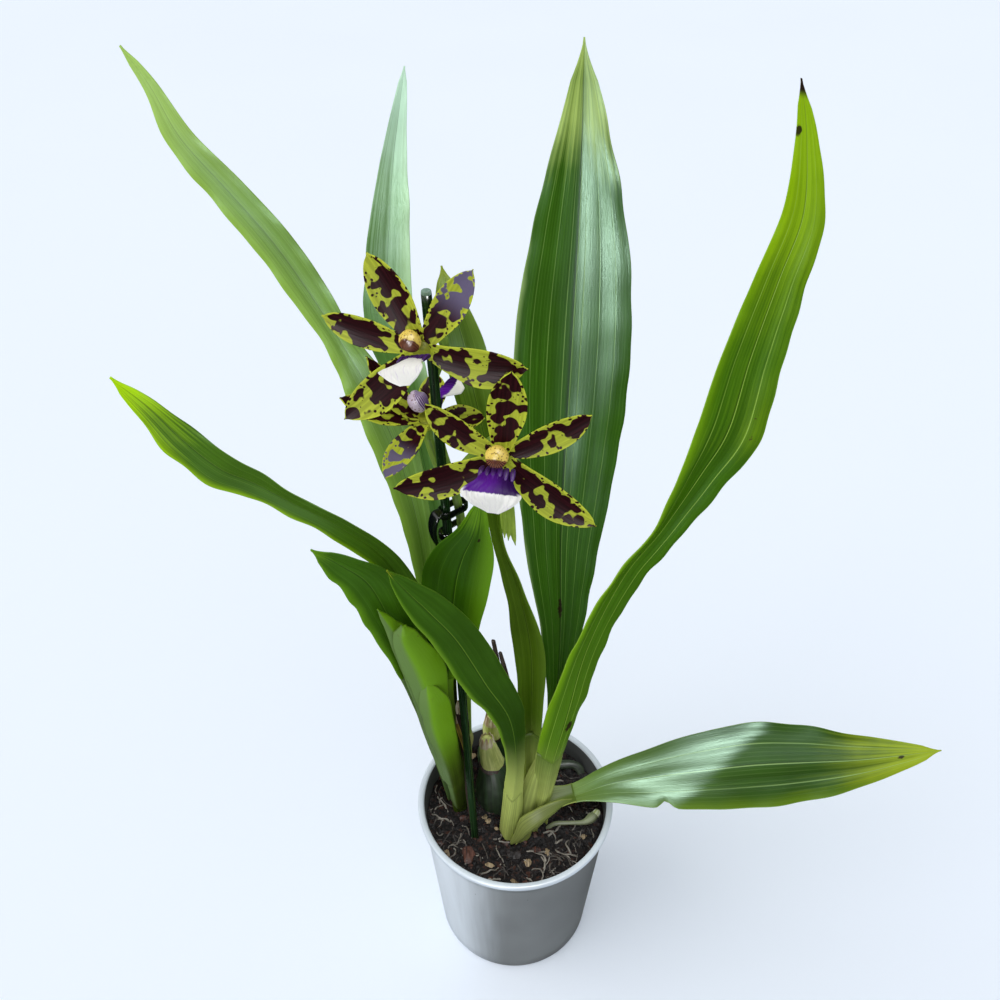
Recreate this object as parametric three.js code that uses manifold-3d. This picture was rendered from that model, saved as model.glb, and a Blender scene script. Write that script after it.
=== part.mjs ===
// Zygopetalum orchid in its grower's pot: two leafy shoots, a flower spike tied to a cane, three blooms.
// Millimetres, +Z up. Origin: centre of the pot's foot, on the surface it stands on. -Y is the front.

import * as THREE from 'three';
import { mergeVertices } from 'three/addons/utils/BufferGeometryUtils.js';
import Module from 'manifold-3d';

const wasm = await Module();
wasm.setup();

// ---------------------------------------------------------------- driving dimensions

const POT_RIM_DIAMETER = 90;
const POT_FOOT_DIAMETER = 73;
const POT_HEIGHT = 90;
const POT_WALL = 1.2;
const POT_RIM_WIDTH = 3;
const POT_RIM_DEPTH = 3;
const POT_FLOOR = 3;
const POT_FLOOR_LIFT = 2;
const POT_FOOT_RING = 6;
const POT_CENTRE_FOOT = 7;
const POT_SIDES = 40;
const DRAIN_HOLES = 6;
const DRAIN_DIAMETER = 7;
const DRAIN_CIRCLE = 22;

const SOIL_LEVEL = 79.5;
const SOIL_ROUGHNESS = 1.1;
const GAP = 0.35;

const LEAF_THICKNESS = 0.9;
const SHEATH_THICKNESS = 1.6;
const SHEATH_GAP = 0.5;
const TEPAL_THICKNESS = 0.8;

const STAKE_DIAMETER = 3.4;
const STAKE_FOOT = [-18.6, -13.4, 80];
const STAKE_TOP = [-29.3, 4, 349];
const STAKE_BURIED = 62;

// ---------------------------------------------------------------- colours and finishes

const FINISH = {
  pot: { color: 0xb9c2c6, roughness: 0.35, metalness: 0 },
  soil: { color: 0x3a2620, roughness: 0.95, metalness: 0 },
  stake: { color: 0x123a25, roughness: 0.45, metalness: 0 },
  clip: { color: 0x0c1416, roughness: 0.15, metalness: 0 },
  leaf: { color: 0x4a8a14, roughness: 0.38, metalness: 0 },
  deepLeaf: { color: 0x2f6b18, roughness: 0.35, metalness: 0 },
  sheath: { color: 0x86a83c, roughness: 0.5, metalness: 0 },
  spike: { color: 0x7d9c2e, roughness: 0.5, metalness: 0 },
  bulb: { color: 0x2f4f2a, roughness: 0.45, metalness: 0 },
  dry: { color: 0x4a3226, roughness: 0.85, metalness: 0 },
  root: { color: 0x9aa37c, roughness: 0.7, metalness: 0 },
  tepal: { color: 0x7a8a22, roughness: 0.45, metalness: 0 },
  lip: { color: 0x8a5fb8, roughness: 0.5, metalness: 0 },
  column: { color: 0xd9c243, roughness: 0.45, metalness: 0 },
};

// ---------------------------------------------------------------- curve helpers

const DEGREE = Math.PI / 180;
const mix = (a, b, k) => a + (b - a) * k;
const vector = ([x, y, z]) => new THREE.Vector3(x, y, z);

// A row of numbers read off a smooth curve through all rows, at t from 0 to rows.length - 1.
function rowAt(rows, t) {
  const last = rows.length - 1;
  const i = Math.min(Math.floor(t), last - 1);
  const k = t - i;
  const row = (j) => {
    if (j < 0) return rows[0].map((v, c) => 2 * v - rows[1][c]);
    if (j > last) return rows[last].map((v, c) => 2 * v - rows[last - 1][c]);
    return rows[j];
  };
  const [a, b, c, d] = [row(i - 1), row(i), row(i + 1), row(i + 2)];
  return b.map((v, n) => {
    const bend = 2 * a[n] - 5 * v + 4 * c[n] - d[n];
    const twist = -a[n] + 3 * v - 3 * c[n] + d[n];
    return v + 0.5 * k * (c[n] - a[n] + k * (bend + k * twist));
  });
}

// A closed body from rings of points: ring after ring joined by quads, both ends closed.
function loft(rings, capStart, capEnd) {
  const size = rings[0].length;
  const points = rings.flat();
  const faces = [];
  for (let i = 0; i + 1 < rings.length; i += 1) {
    for (let j = 0; j < size; j += 1) {
      const a = i * size + j;
      const b = i * size + ((j + 1) % size);
      faces.push([a, b, b + size], [a, b + size, a + size]);
    }
  }
  const lastRing = (rings.length - 1) * size;
  for (const [p, q, r] of capStart) faces.push([r, q, p]);
  for (const [p, q, r] of capEnd) faces.push([lastRing + p, lastRing + q, lastRing + r]);
  return toSolid(points, faces);
}

function toSolid(points, faces) {
  const vertProperties = new Float32Array(points.flatMap((p) => [p.x, p.y, p.z]));
  const triVerts = new Uint32Array(faces.flat());
  const solid = new wasm.Manifold(new wasm.Mesh({ numProp: 3, vertProperties, triVerts }));
  return solid;
}

function toGeometry(solid) {
  const { vertProperties, triVerts } = solid.getMesh();
  const geometry = new THREE.BufferGeometry();
  geometry.setAttribute('position', new THREE.BufferAttribute(new Float32Array(vertProperties), 3));
  geometry.setIndex(new THREE.BufferAttribute(new Uint32Array(triVerts), 1));
  geometry.computeVertexNormals();
  return geometry;
}

function fromGeometry(geometry) {
  const bare = geometry.clone();
  bare.deleteAttribute('normal');
  bare.deleteAttribute('uv');
  const merged = mergeVertices(bare, 1e-4);
  const mesh = new wasm.Mesh({
    numProp: 3,
    vertProperties: new Float32Array(merged.attributes.position.array),
    triVerts: new Uint32Array(merged.index.array),
  });
  return new wasm.Manifold(mesh);
}

const fuse = (solids) => solids.reduce((all, next) => all.add(next));

// ---------------------------------------------------------------- blades
// A blade row: [x, y, z, half width, heading of its width, rise of its width, fold], in mm and degrees.
// The fold is how steeply both halves rise from the midrib: positive shows a channel to the front,
// negative a keel.

function blade(rows, options = {}) {
  const {
    from = 0, to = rows.length - 1, steps = 2, columns = 5, pleat = 0,
    thickness = LEAF_THICKNESS, rootThickness = thickness,
  } = options;
  const count = Math.max(2, Math.round((to - from) * steps));
  const rings = [];
  for (let i = 0; i <= count; i += 1) {
    const t = mix(from, to, i / count);
    rings.push(bladeRing(rows, t, columns, pleat, mix(rootThickness, thickness, i / count)));
  }
  const cap = [];
  for (let j = 0; j + 1 < columns; j += 1) {
    const k = 2 * columns - 1 - j;
    cap.push([j, j + 1, k - 1], [j, k - 1, k]);
  }
  return loft(rings, cap, cap);
}

function bladeRing(rows, t, columns, pleat, thickness) {
  const [x, y, z, half, heading, rise, fold] = rowAt(rows, t);
  const step = 0.02;
  const ahead = rowAt(rows, Math.min(t + step, rows.length - 1));
  const behind = rowAt(rows, Math.max(t - step, 0));
  const along = vector(ahead).sub(vector(behind)).normalize();
  const across = new THREE.Vector3(
    Math.cos(rise * DEGREE) * Math.cos(heading * DEGREE),
    Math.cos(rise * DEGREE) * Math.sin(heading * DEGREE),
    Math.sin(rise * DEGREE),
  );
  const facing = across.clone().cross(along).normalize();
  const width = Math.max(half, 0.6);
  const depth = width * Math.tan(fold * DEGREE);
  const front = [];
  const back = [];
  for (let j = 0; j < columns; j += 1) {
    const u = (2 * j) / (columns - 1) - 1;
    const ridge = j % 2 === 1 ? pleat * Math.min(1, width / 12) : 0;
    const height = -depth * (1 - Math.abs(u)) + ridge;
    const point = new THREE.Vector3(x, y, z).addScaledVector(across, u * width);
    front.push(point.clone().addScaledVector(facing, height + thickness / 2));
    back.push(point.clone().addScaledVector(facing, height - thickness / 2));
  }
  return [...front, ...back.reverse()];
}

// ---------------------------------------------------------------- stems
// A stem row: [x, y, z, radius].

function stem(rows, options = {}) {
  const { sides = 8, steps = 2, grow = 0 } = options;
  const count = Math.max(1, Math.round((rows.length - 1) * steps));
  const rings = [];
  let side = null;
  for (let i = 0; i <= count; i += 1) {
    const t = (i / count) * (rows.length - 1);
    const here = rowAt(rows, t);
    const ahead = vector(rowAt(rows, Math.min(t + 0.02, rows.length - 1)));
    const along = ahead.sub(vector(rowAt(rows, Math.max(t - 0.02, 0)))).normalize();
    const overrun = i === 0 ? -grow : Number(i === count) * grow;
    const hint = side ?? new THREE.Vector3(1, 0.1, 0.05);
    side = hint.clone().addScaledVector(along, -hint.dot(along)).normalize();
    const other = along.clone().cross(side);
    const radius = here[3] + grow;
    const ring = [];
    for (let j = 0; j < sides; j += 1) {
      const angle = (2 * Math.PI * j) / sides;
      const spoke = side.clone().multiplyScalar(Math.cos(angle)).addScaledVector(other, Math.sin(angle));
      ring.push(vector(here).addScaledVector(spoke, radius).addScaledVector(along, overrun));
    }
    rings.push(ring);
  }
  const cap = [];
  for (let j = 1; j + 1 < sides; j += 1) cap.push([0, j, j + 1]);
  return loft(rings, cap, cap);
}

// The space that a stem stands in, a little wider than the stem and past its ends.
const grown = (rows, options) => stem(rows, { ...options, grow: GAP + 0.2 });

function rod(foot, top, radius, grow = 0, sides = 12) {
  return stem([[...foot, radius], [...top, radius]], { sides, steps: 1, grow });
}

// ---------------------------------------------------------------- pot and potting mix

const rimRadius = POT_RIM_DIAMETER / 2;
const footRadius = POT_FOOT_DIAMETER / 2;
const floorTop = POT_FLOOR_LIFT + POT_FLOOR;
const innerRimRadius = rimRadius - POT_RIM_WIDTH;
const innerFloorRadius = footRadius - POT_WALL;
const innerRadiusAt = (z) => mix(innerFloorRadius, innerRimRadius, (z - floorTop) / (POT_HEIGHT - floorTop));

function potBody() {
  const rimFoot = POT_HEIGHT - POT_RIM_DEPTH;
  const profile = [
    [0, 0],
    [POT_CENTRE_FOOT, 0],
    [POT_CENTRE_FOOT + 0.6, POT_FLOOR_LIFT],
    [footRadius - POT_FOOT_RING, POT_FLOOR_LIFT],
    [footRadius - POT_FOOT_RING + 0.6, 0],
    [footRadius - 0.6, 0],
    [footRadius, 0.8],
    [innerRadiusAt(rimFoot) + POT_WALL, rimFoot],
    [rimRadius - 0.3, rimFoot + 0.3],
    [rimRadius, POT_HEIGHT - 1],
    [rimRadius - 0.5, POT_HEIGHT],
    [innerRimRadius + 0.6, POT_HEIGHT],
    [innerRimRadius, POT_HEIGHT - 1],
    [innerFloorRadius, floorTop],
    [0, floorTop],
  ].map(([r, z]) => new THREE.Vector2(r, z));
  const turned = new THREE.LatheGeometry(profile, POT_SIDES);
  turned.rotateX(Math.PI / 2);
  let pot = fromGeometry(turned);
  for (let i = 0; i < DRAIN_HOLES; i += 1) {
    const angle = (2 * Math.PI * i) / DRAIN_HOLES;
    const x = DRAIN_CIRCLE * Math.cos(angle);
    const y = DRAIN_CIRCLE * Math.sin(angle);
    pot = pot.subtract(rod([x, y, 0], [x, y, floorTop + 2], DRAIN_DIAMETER / 2));
  }
  return pot;
}

function soilHeight(x, y) {
  const coarse = Math.sin(0.31 * x + 1.3) * Math.cos(0.27 * y + 0.4);
  const fine = Math.sin(0.83 * x - 0.52 * y) * Math.cos(0.71 * y + 0.37 * x + 2.1);
  return SOIL_LEVEL + SOIL_ROUGHNESS * (0.5 * coarse + 0.5 * fine);
}

function soilBody(stems) {
  const sectors = 28;
  const ringCount = 5;
  const top = innerRadiusAt(SOIL_LEVEL) - GAP;
  const bottom = innerRadiusAt(floorTop) - GAP;
  const points = [new THREE.Vector3(0, 0, floorTop + GAP)];
  const spoke = (radius, j, z) => {
    const angle = (2 * Math.PI * j) / sectors;
    const [x, y] = [radius * Math.cos(angle), radius * Math.sin(angle)];
    return new THREE.Vector3(x, y, z ?? soilHeight(x, y));
  };
  for (let j = 0; j < sectors; j += 1) points.push(spoke(bottom, j, floorTop + GAP));
  for (let i = ringCount; i >= 1; i -= 1) {
    for (let j = 0; j < sectors; j += 1) points.push(spoke((top * i) / ringCount, j));
  }
  points.push(new THREE.Vector3(0, 0, soilHeight(0, 0)));
  const last = points.length - 1;
  const faces = [];
  for (let j = 0; j < sectors; j += 1) {
    const next = (j + 1) % sectors;
    faces.push([0, 1 + next, 1 + j]);
    for (let i = 0; i < ringCount; i += 1) {
      const a = 1 + i * sectors;
      faces.push([a + j, a + next, a + sectors + next], [a + j, a + sectors + next, a + sectors + j]);
    }
    faces.push([last, last - sectors + j, last - sectors + next]);
  }
  return stems.reduce((soil, hole) => soil.subtract(hole), toSolid(points, faces));
}

// ---------------------------------------------------------------- leaves
// Each leaf runs from the shoot's foot to its tip. Up to `sheath` (a row) it clasps the shoot.

const LEAVES = {
  right_leaf_back: {
    sheath: 2, columns: 9, pleat: 0.5, finish: 'deepLeaf', rows: [
      [10, -10, 84, 4.5, 0, 0, 55],
      [13, -6, 112, 4, 0, 0, 60],
      [17, 2, 150, 4, 0, 0, 55],
      [18, 11, 187, 8, 0, 0, 30],
      [17, 20, 230, 14.5, 0, 0, 16],
      [18, 32, 278, 20, 3, -2, 10],
      [19, 43, 314, 20.5, 3, -2, 8],
      [20, 53, 346, 16, 2, -2, 10],
      [20, 60, 376, 8.6, 0, 0, 15],
      [19, 63, 404, 0.7, 0, 0, 15],
    ],
  },
  right_leaf_centre: {
    sheath: 2, columns: 5, pleat: 0, finish: 'leaf', rows: [
      [6, -13, 84, 4, -10, 0, 55],
      [7, -12, 106, 3, -10, 5, 55],
      [6, -4, 141, 4.3, -8, 5, 45],
      [5, 7, 182, 6.5, -12, 5, 30],
      [-2, 14, 214, 4, -25, 8, 40],
      [-8, 19, 234, 2.4, -22, 14, 45],
      [-11, 26, 262, 5, -18, 12, 30],
      [-17, 33, 294, 7.6, -15, 10, 15],
      [-20, 37, 310, 8, -14, 8, 12],
      [-24, 40, 325, 5.4, -12, 6, 15],
      [-27, 45, 336, 0.7, -12, 5, 15],
    ],
  },
  right_leaf_left: {
    sheath: 2, columns: 5, pleat: 0, finish: 'deepLeaf', rows: [
      [-2.5, -14, 84, 5, -20, 0, -50],
      [-2, -15.5, 98, 4.8, -20, 5, -50],
      [-1.4, -17, 121, 4.2, -5, 5, -50],
      [-0.8, -18, 146, 4, 5, 10, -40],
      [-4, -20, 177, 6.4, 14, 14, -25],
      [-13, -22, 200, 8.6, 18, 20, -15],
      [-23, -24, 226, 8.2, 20, 23, -12],
      [-32, -27, 244, 7, 18, 27, -12],
      [-38, -29, 255, 4.4, 16, 29, -15],
      [-44, -31, 266, 0.7, 16, 29, -15],
    ],
  },
  right_leaf_tall: {
    sheath: 2, columns: 7, pleat: 0.3, finish: 'leaf', rows: [
      [8, -9, 84, 4.5, 5, -5, -55],
      [11.6, -12, 112, 4.6, 5, -7, -52],
      [14, -13, 143, 6, 10, -10, -40],
      [20, -8, 169, 8, 22, -16, -15],
      [28, -4, 200, 7, 22, -20, 10],
      [40, 1, 228, 8, 28, -25, 22],
      [53, 4, 250, 6.5, 20, -28, 28],
      [64, 7, 274, 9.5, 8, -24, 18],
      [71, 9, 292, 12, 2, -18, 12],
      [75, 13, 318, 10.6, 3, -12, 12],
      [80, 16, 345, 8.6, 3, -14, 12],
      [84, 18, 366, 7, -2, -18, 14],
      [81, 20, 388, 3.6, -5, -12, 15],
      [76, 20, 405, 0.7, -5, -10, 15],
    ],
  },
  right_leaf_low: {
    sheath: 3, columns: 7, pleat: 0.4, finish: 'deepLeaf', rows: [
      [-0.6, -14, 83, 6.2, -80, 0, 48],
      [3.6, -13.6, 96, 6.6, -80, 0, 50],
      [12, -13, 106.5, 6.8, -80, 0, 50],
      [26, -9, 107, 4.8, -80, 0, 35],
      [41, -6, 109, 8.6, -80, -8, 8],
      [60, -3, 109, 13, -83, -20, -5],
      [83, -1, 112, 16.5, -85, -33, -7],
      [106, 0, 115, 18.5, -85, -36, -7],
      [128, 0, 117, 16.5, -85, -36, -7],
      [150, -1, 120, 11.8, -82, -34, -6],
      [170, -2, 125, 6, -80, -32, -5],
      [185, -3, 130, 0.7, -80, -30, -5],
    ],
  },
  left_leaf_tall: {
    sheath: 3, columns: 7, pleat: 0.3, finish: 'leaf', rows: [
      [-28, 3, 88, 3, 10, 0, 55],
      [-29, 3, 115, 3, 10, 0, 55],
      [-31, 6, 155, 3.6, 20, 0, 50],
      [-34, 12, 199, 4.3, 20, 2, 45],
      [-38, 17, 241, 5.4, 5, 8, 30],
      [-45, 23, 276, 8, 4, 14, 15],
      [-54, 27, 300, 7.8, 5, 18, 12],
      [-62, 31, 315, 5.5, 8, 18, 22],
      [-72, 35, 333, 6.5, 8, 15, 18],
      [-82, 37, 350, 6.6, 6, 15, 14],
      [-94, 39, 366, 6, 6, 16, 14],
      [-105, 40, 381, 4.4, 8, 20, 15],
      [-111, 40, 397, 2.3, 5, 30, 15],
      [-117, 40, 408, 0.7, 5, 30, 15],
    ],
  },
  left_leaf_low: {
    sheath: 3, columns: 5, pleat: 0, finish: 'leaf', rows: [
      [-28, 1, 88, 3, 20, 0, 55],
      [-30, 0, 115, 3, 20, 0, 55],
      [-32, 0, 162, 5, 25, 2, 40],
      [-39, 0, 210, 5.8, 20, 10, 28],
      [-48, -1, 240, 5, 15, 25, 22],
      [-64, -2, 258, 4.9, 5, 40, 22],
      [-79, -2, 269, 5, -5, 45, 20],
      [-91, -2, 278, 7, -5, 42, 15],
      [-101, -3, 285, 8.5, -5, 38, 12],
      [-111, -3, 297, 7.5, -5, 34, 12],
      [-120, -3, 311, 5, -8, 30, 15],
      [-128, -4, 323, 0.7, -8, 28, 15],
    ],
  },
  left_leaf_short: {
    sheath: 3, columns: 5, pleat: 0, finish: 'deepLeaf', rows: [
      [-28, 0, 88, 3, 0, 0, 55],
      [-31, -4, 115, 3, 0, 5, 55],
      [-35, -7, 152, 4.5, 20, 5, 40],
      [-40.8, -10.4, 190, 5.6, 25, 12, 26],
      [-46.4, -12, 217, 8.3, 24, 16, 15],
      [-53, -14, 241, 8.8, 20, 24, 12],
      [-62, -16, 253, 6, 12, 34, 14],
      [-71, -18, 263, 0.7, 8, 36, 15],
    ],
  },
  left_leaf_upright: {
    sheath: 3, columns: 5, pleat: 0, finish: 'deepLeaf', rows: [
      [-27, 0, 88, 3, 0, 0, -50],
      [-29, -3, 120, 3, 0, 0, -50],
      [-30, -6, 155, 4.5, -5, 0, -40],
      [-29.2, -8, 187, 4.2, -8, -2, -25],
      [-26, -9, 205, 9, -6, -2, -15],
      [-23, -12, 241, 12.2, 0, -4, -10],
      [-20, -13, 257, 10.8, 6, -8, -10],
      [-16, -14, 269, 5.6, 8, -10, -15],
      [-13, -15, 285, 0.7, 8, -10, -15],
    ],
  },
  left_leaf_back: {
    sheath: 3, columns: 5, pleat: 0, finish: 'leaf', rows: [
      [-27, 4, 88, 3, 0, 0, 55],
      [-28, 5, 115, 2.8, 0, 0, 55],
      [-29, 10, 155, 3.4, 0, 0, 50],
      [-30, 17, 195, 3.8, -4, 3, 45],
      [-31, 23, 230, 4.2, -6, 6, 35],
      [-36, 31, 263, 6.3, -5, 8, 20],
      [-41, 39, 293, 8.1, -5, 8, 12],
      [-46, 45, 315, 9, -4, 6, 10],
      [-46, 50, 332, 7.9, 0, 2, 10],
      [-44, 54, 351, 6.5, 4, 0, 12],
      [-42, 58, 368, 4.3, 6, 0, 14],
      [-39, 60, 385, 2.2, 8, 0, 15],
      [-37, 61, 396, 0.7, 8, 0, 15],
    ],
  },
};

// Short leaves and bracts that stay wrapped round the left shoot.
const LEFT_BRACTS = [
  [
    [-30, -3, 110, 3, 20, 5, -45],
    [-36, -7, 150, 3.5, 30, 8, -40],
    [-39, -10, 176, 3.5, 28, 10, -30],
    [-44, -15, 215, 4.2, 28, 14, -20],
    [-47, -16, 224, 2.6, 30, 20, -20],
    [-51, -17, 233, 0.7, 30, 22, -20],
  ],
  [
    [-28, -4, 110, 4, 10, 0, -50],
    [-30, -8, 140, 4.6, 10, 5, -45],
    [-33, -12, 169, 5.5, 12, 7, -40],
    [-36, -16, 200, 8.3, 8, 8, -30],
    [-41, -18, 218, 5.6, 5, 10, -30],
    [-42, -19, 227, 2.8, 0, 8, -40],
  ],
  [
    [-26, 0, 86, 3, 0, 0, -50],
    [-28, -7, 123, 4.4, 0, 5, -45],
    [-32, -13, 162, 6.4, 0, 5, -40],
    [-33, -17, 183, 5.8, 0, 5, -40],
    [-35, -19, 197, 0.8, -10, 10, -40],
  ],
];

const RIGHT_BRACTS = [
  [
    [-1.9, -18.5, 83, 0.8, 0, -45, -30],
    [1.4, -19.6, 90, 3, 0, -48, -40],
    [4.8, -20, 99.5, 5, 0, -52, -40],
    [9.7, -19.6, 105.5, 4.6, 0, -56, -40],
    [14.7, -18.2, 108.6, 3.8, 0, -60, -35],
    [19.7, -16.5, 110.8, 2, 0, -64, -30],
    [24.5, -14.5, 110.4, 0.6, 0, -66, -30],
  ],
];

const RIGHT_CORE = [
  [2, -12, 66, 4],
  [2, -12, 80, 5.2],
  [3, -12, 90, 5.4],
  [5.6, -11.6, 105, 4.8],
  [8, -11.5, 122, 3.8],
  [10, -11, 134, 2.2],
];

const LEFT_CORE = [
  [-26, 2, 66, 3],
  [-26, 2, 80, 3.4],
  [-27, 0, 105, 4.2],
  [-29, -2, 135, 5.4],
  [-32, -3, 165, 5],
  [-34, -3, 184, 3],
];

function shoot(core, leafNames, bracts) {
  const parts = [stem(core, { sides: 10, steps: 2 })];
  for (const name of leafNames) {
    const { rows, sheath } = LEAVES[name];
    parts.push(blade(rows, { to: sheath, columns: 3, steps: 2, thickness: SHEATH_THICKNESS }));
  }
  for (const rows of bracts) {
    parts.push(blade(rows, { columns: 3, steps: 1.6, thickness: LEAF_THICKNESS, rootThickness: 2.4 }));
  }
  return fuse(parts);
}

function leafBlade(name) {
  const { rows, sheath, columns, pleat } = LEAVES[name];
  const spacing = vector(rows[sheath]).distanceTo(vector(rows[sheath + 1]));
  const from = sheath + (SHEATH_GAP / spacing);
  return blade(rows, { from, columns, pleat, steps: 1.6, rootThickness: SHEATH_THICKNESS });
}

// ---------------------------------------------------------------- blooms
// A bloom's own axes: `facing` out of its face, `up` to the dorsal sepal, and `side` to the viewer's right.
// Its column and lip point along `gaze`, with `crown` upward, where those differ from the face's own, and
// `lipSize` and `lipDrop` scale them and how far the lip hangs.
// A tepal: [angle from up, length, width, how far its tip comes forward, sideways bow of its middle].
// Angles and bows grow clockwise, seen from the front.

const SEPAL = 12;
const PETAL = 10;

const BLOOMS = {
  top: {
    at: [-30, -12, 338], facing: [-0.3, -0.95, 0.1], gaze: [-0.48, -0.84, 0.28],
    up: [0, 0, 1], crown: [-0.17, 0.38, 0.91], lipSize: 0.88, lipDrop: 0.8, tepals: [
      [-30, 32, SEPAL, 1, 0],
      [30, 32, PETAL, 2, 0],
      [-79, 32, PETAL, 1, -1],
      [93, 32, SEPAL, -2, 2],
      [-137, 37, SEPAL, 3, -1],
    ],
  },
  front: {
    at: [-7, -22, 306], facing: [-0.08, -1, 0.05], gaze: [-0.18, -1, 0.05], up: [0, 0, 1], tepals: [
      [6, 32, SEPAL, 3, 0],
      [-51, 29, PETAL, 1, -2],
      [58, 32, PETAL, 1, 1.5],
      [-111, 36, SEPAL, 2, -3],
      [126, 38, SEPAL, 4, 2.5],
    ],
  },
  rear: {
    at: [-32.3, 18.5, 291], facing: [0, -0.2, 1], up: [-1, 0, 0.1], gaze: [0.12, 0.15, 1], crown: [-1, 0.3, 0.1],
    tepals: [
      [4, 30, SEPAL, 8, 0],
      [24, 22, PETAL, 21, 0],
      [-61, 27, PETAL, -4, 0],
      [95, 20, PETAL, 3, 0],
      [-178, 20, SEPAL, 2, 0],
    ],
  },
};

const gazing = (bloom) => ({ ...bloom, facing: bloom.gaze ?? bloom.facing, up: bloom.crown ?? bloom.up });

const TEPAL_ROOT = 2.2;
const RECEPTACLE = 3;
const OVARY = 7;
const OVARY_GAP = 4.5;

function axes({ facing, up }) {
  const n = vector(facing).normalize();
  const u = vector(up).addScaledVector(n, -vector(up).dot(n)).normalize();
  return { n, u, side: u.clone().cross(n) };
}

// A point of a bloom: forward along its face's axis, up and to the side, from its centre.
function place(bloom, forward, rise, aside = 0) {
  const { n, u, side } = axes(bloom);
  return vector(bloom.at).addScaledVector(n, forward).addScaledVector(u, rise).addScaledVector(side, aside);
}

function compass(across) {
  return [Math.atan2(across.y, across.x) / DEGREE, Math.asin(across.z) / DEGREE];
}

function tepal(bloom, [angle, length, width, lift, bow]) {
  const { n, u, side } = axes(bloom);
  const along = u.clone().multiplyScalar(Math.cos(angle * DEGREE))
    .addScaledVector(side, Math.sin(angle * DEGREE));
  const across = along.clone().cross(n);
  const [heading, rise] = compass(across);
  const shape = [[0, 0.42], [0.2, 0.72], [0.45, 1], [0.68, 0.94], [0.87, 0.58], [1, 0.07]];
  const rows = shape.map(([s, share]) => {
    const point = vector(bloom.at)
      .addScaledVector(along, mix(TEPAL_ROOT, length, s))
      .addScaledVector(across, 4 * bow * s * (1 - s))
      .addScaledVector(n, lift * s * s);
    return [point.x, point.y, point.z, (width / 2) * share, heading, rise, 10];
  });
  return blade(rows, { steps: 1.6, columns: 3, thickness: TEPAL_THICKNESS, rootThickness: 1.2 });
}

function localStem(bloom, rows, options) {
  return stem(rows.map(([forward, rise, r]) => [...place(bloom, forward, rise).toArray(), r]), options);
}

function tepals(bloom) {
  const receptacle = localStem(bloom, [[-4, 0, 1.6], [-1.5, 0, RECEPTACLE], [0.9, 0, RECEPTACLE]], {
    sides: 8, steps: 1,
  });
  return fuse([receptacle, ...bloom.tepals.map((row) => tepal(bloom, row))]);
}

// The hooded column rises over the lip and ends in its round anther cap.
function column(bloom) {
  const { lipSize = 1 } = bloom;
  const rows = [[3.4, 1.5, 1.8], [4.3, 2.3, 2.8], [5.8, 3.8, 3.5], [7.7, 5.1, 3.2], [9, 5.7, 1.4]];
  return localStem(gazing(bloom), rows.map((row) => row.map((v) => v * lipSize)));
}

// The lip: a narrow ridged claw that fans out, its front margin rolled down.
function lip(flower) {
  const bloom = gazing(flower);
  const { lipSize = 1, lipDrop = 1 } = flower;
  const [heading, rise] = compass(axes(bloom).side);
  const point = (forward, up, aside = 0) => (
    place(bloom, forward * lipSize, up * lipSize * lipDrop, aside * lipSize).toArray());
  const shape = [
    [3.4, -2.7, 4.8, 12], [7, -2.9, 6.2, 10], [10.5, -3.3, 7.8, 8], [13, -4.7, 9, 4],
    [14.2, -7.6, 7.6, -6], [13.8, -11.4, 3, -10],
  ];
  const rows = shape.map(([forward, up, half, fold]) => (
    [...point(forward, up), half * lipSize, heading, rise, fold]));
  const fan = blade(rows, { steps: 1.4, columns: 5, pleat: 0.5, thickness: TEPAL_THICKNESS });
  const crest = [-3.6, 0, 3.6].map((aside) => {
    const ridge = [[3.6, -2.1, 1], [6, -2, 1.4], [8.4, -2.7, 0.9]];
    return stem(ridge.map(([forward, up, r]) => [...point(forward, up, aside), r]), { sides: 5, steps: 1 });
  });
  return fuse([fan, ...crest]);
}

// ---------------------------------------------------------------- spike, cane and clip

const SPIKE_AXIS = [
  [-22, 9, 64, 1.8],
  [-22, 9, 90, 1.8],
  [-21.5, 8, 130, 1.8],
  [-21, 6, 180, 1.7],
  [-20.6, 4, 225, 1.6],
  [-21, 2.4, 258, 1.6],
  [-24.2, 3.4, 278, 1.5],
  [-27.4, 4.4, 294, 1.4],
  [-28.6, 6.4, 318, 1.3],
];

const SPIKE_OPTIONS = { sides: 8, steps: 1.5 };

const pedicels = [
  { bloom: 'top', rows: [[-28.6, 6.2, 315, 1.2], [-25, 5, 326, 1.3], [-24.6, 0, 334, 1.6]] },
  { bloom: 'front', rows: [[-23, 3, 272, 1.2], [-20, -2, 286, 1.3], [-12, -9, 300, 1.7]] },
  { bloom: 'rear', rows: [[-25.6, 4, 284, 1.2], [-28.5, 9, 277, 1.3]] },
];

function spikeBody() {
  const parts = [stem(SPIKE_AXIS, SPIKE_OPTIONS)];
  for (const { bloom, rows } of pedicels) {
    const ovary = [[-OVARY - OVARY_GAP, 1.7], [-OVARY_GAP, 1.5]].map(([forward, radius]) => (
      [...place(BLOOMS[bloom], forward, 0).toArray(), radius]));
    parts.push(stem([...rows, ...ovary], { sides: 6, steps: 2 }));
  }
  for (const z of [118, 168, 222]) {
    const near = SPIKE_AXIS.findIndex((row) => row[2] > z);
    const [below, above] = [SPIKE_AXIS[near - 1], SPIKE_AXIS[near]];
    const k = (z - below[2]) / (above[2] - below[2]);
    const [x, y] = [mix(below[0], above[0], k), mix(below[1], above[1], k)];
    parts.push(stem([[x, y, z, 2.2], [x, y, z + 7, 2.7], [x, y, z + 12, 1.7]], { sides: 8, steps: 1 }));
  }
  return fuse(parts);
}

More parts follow.
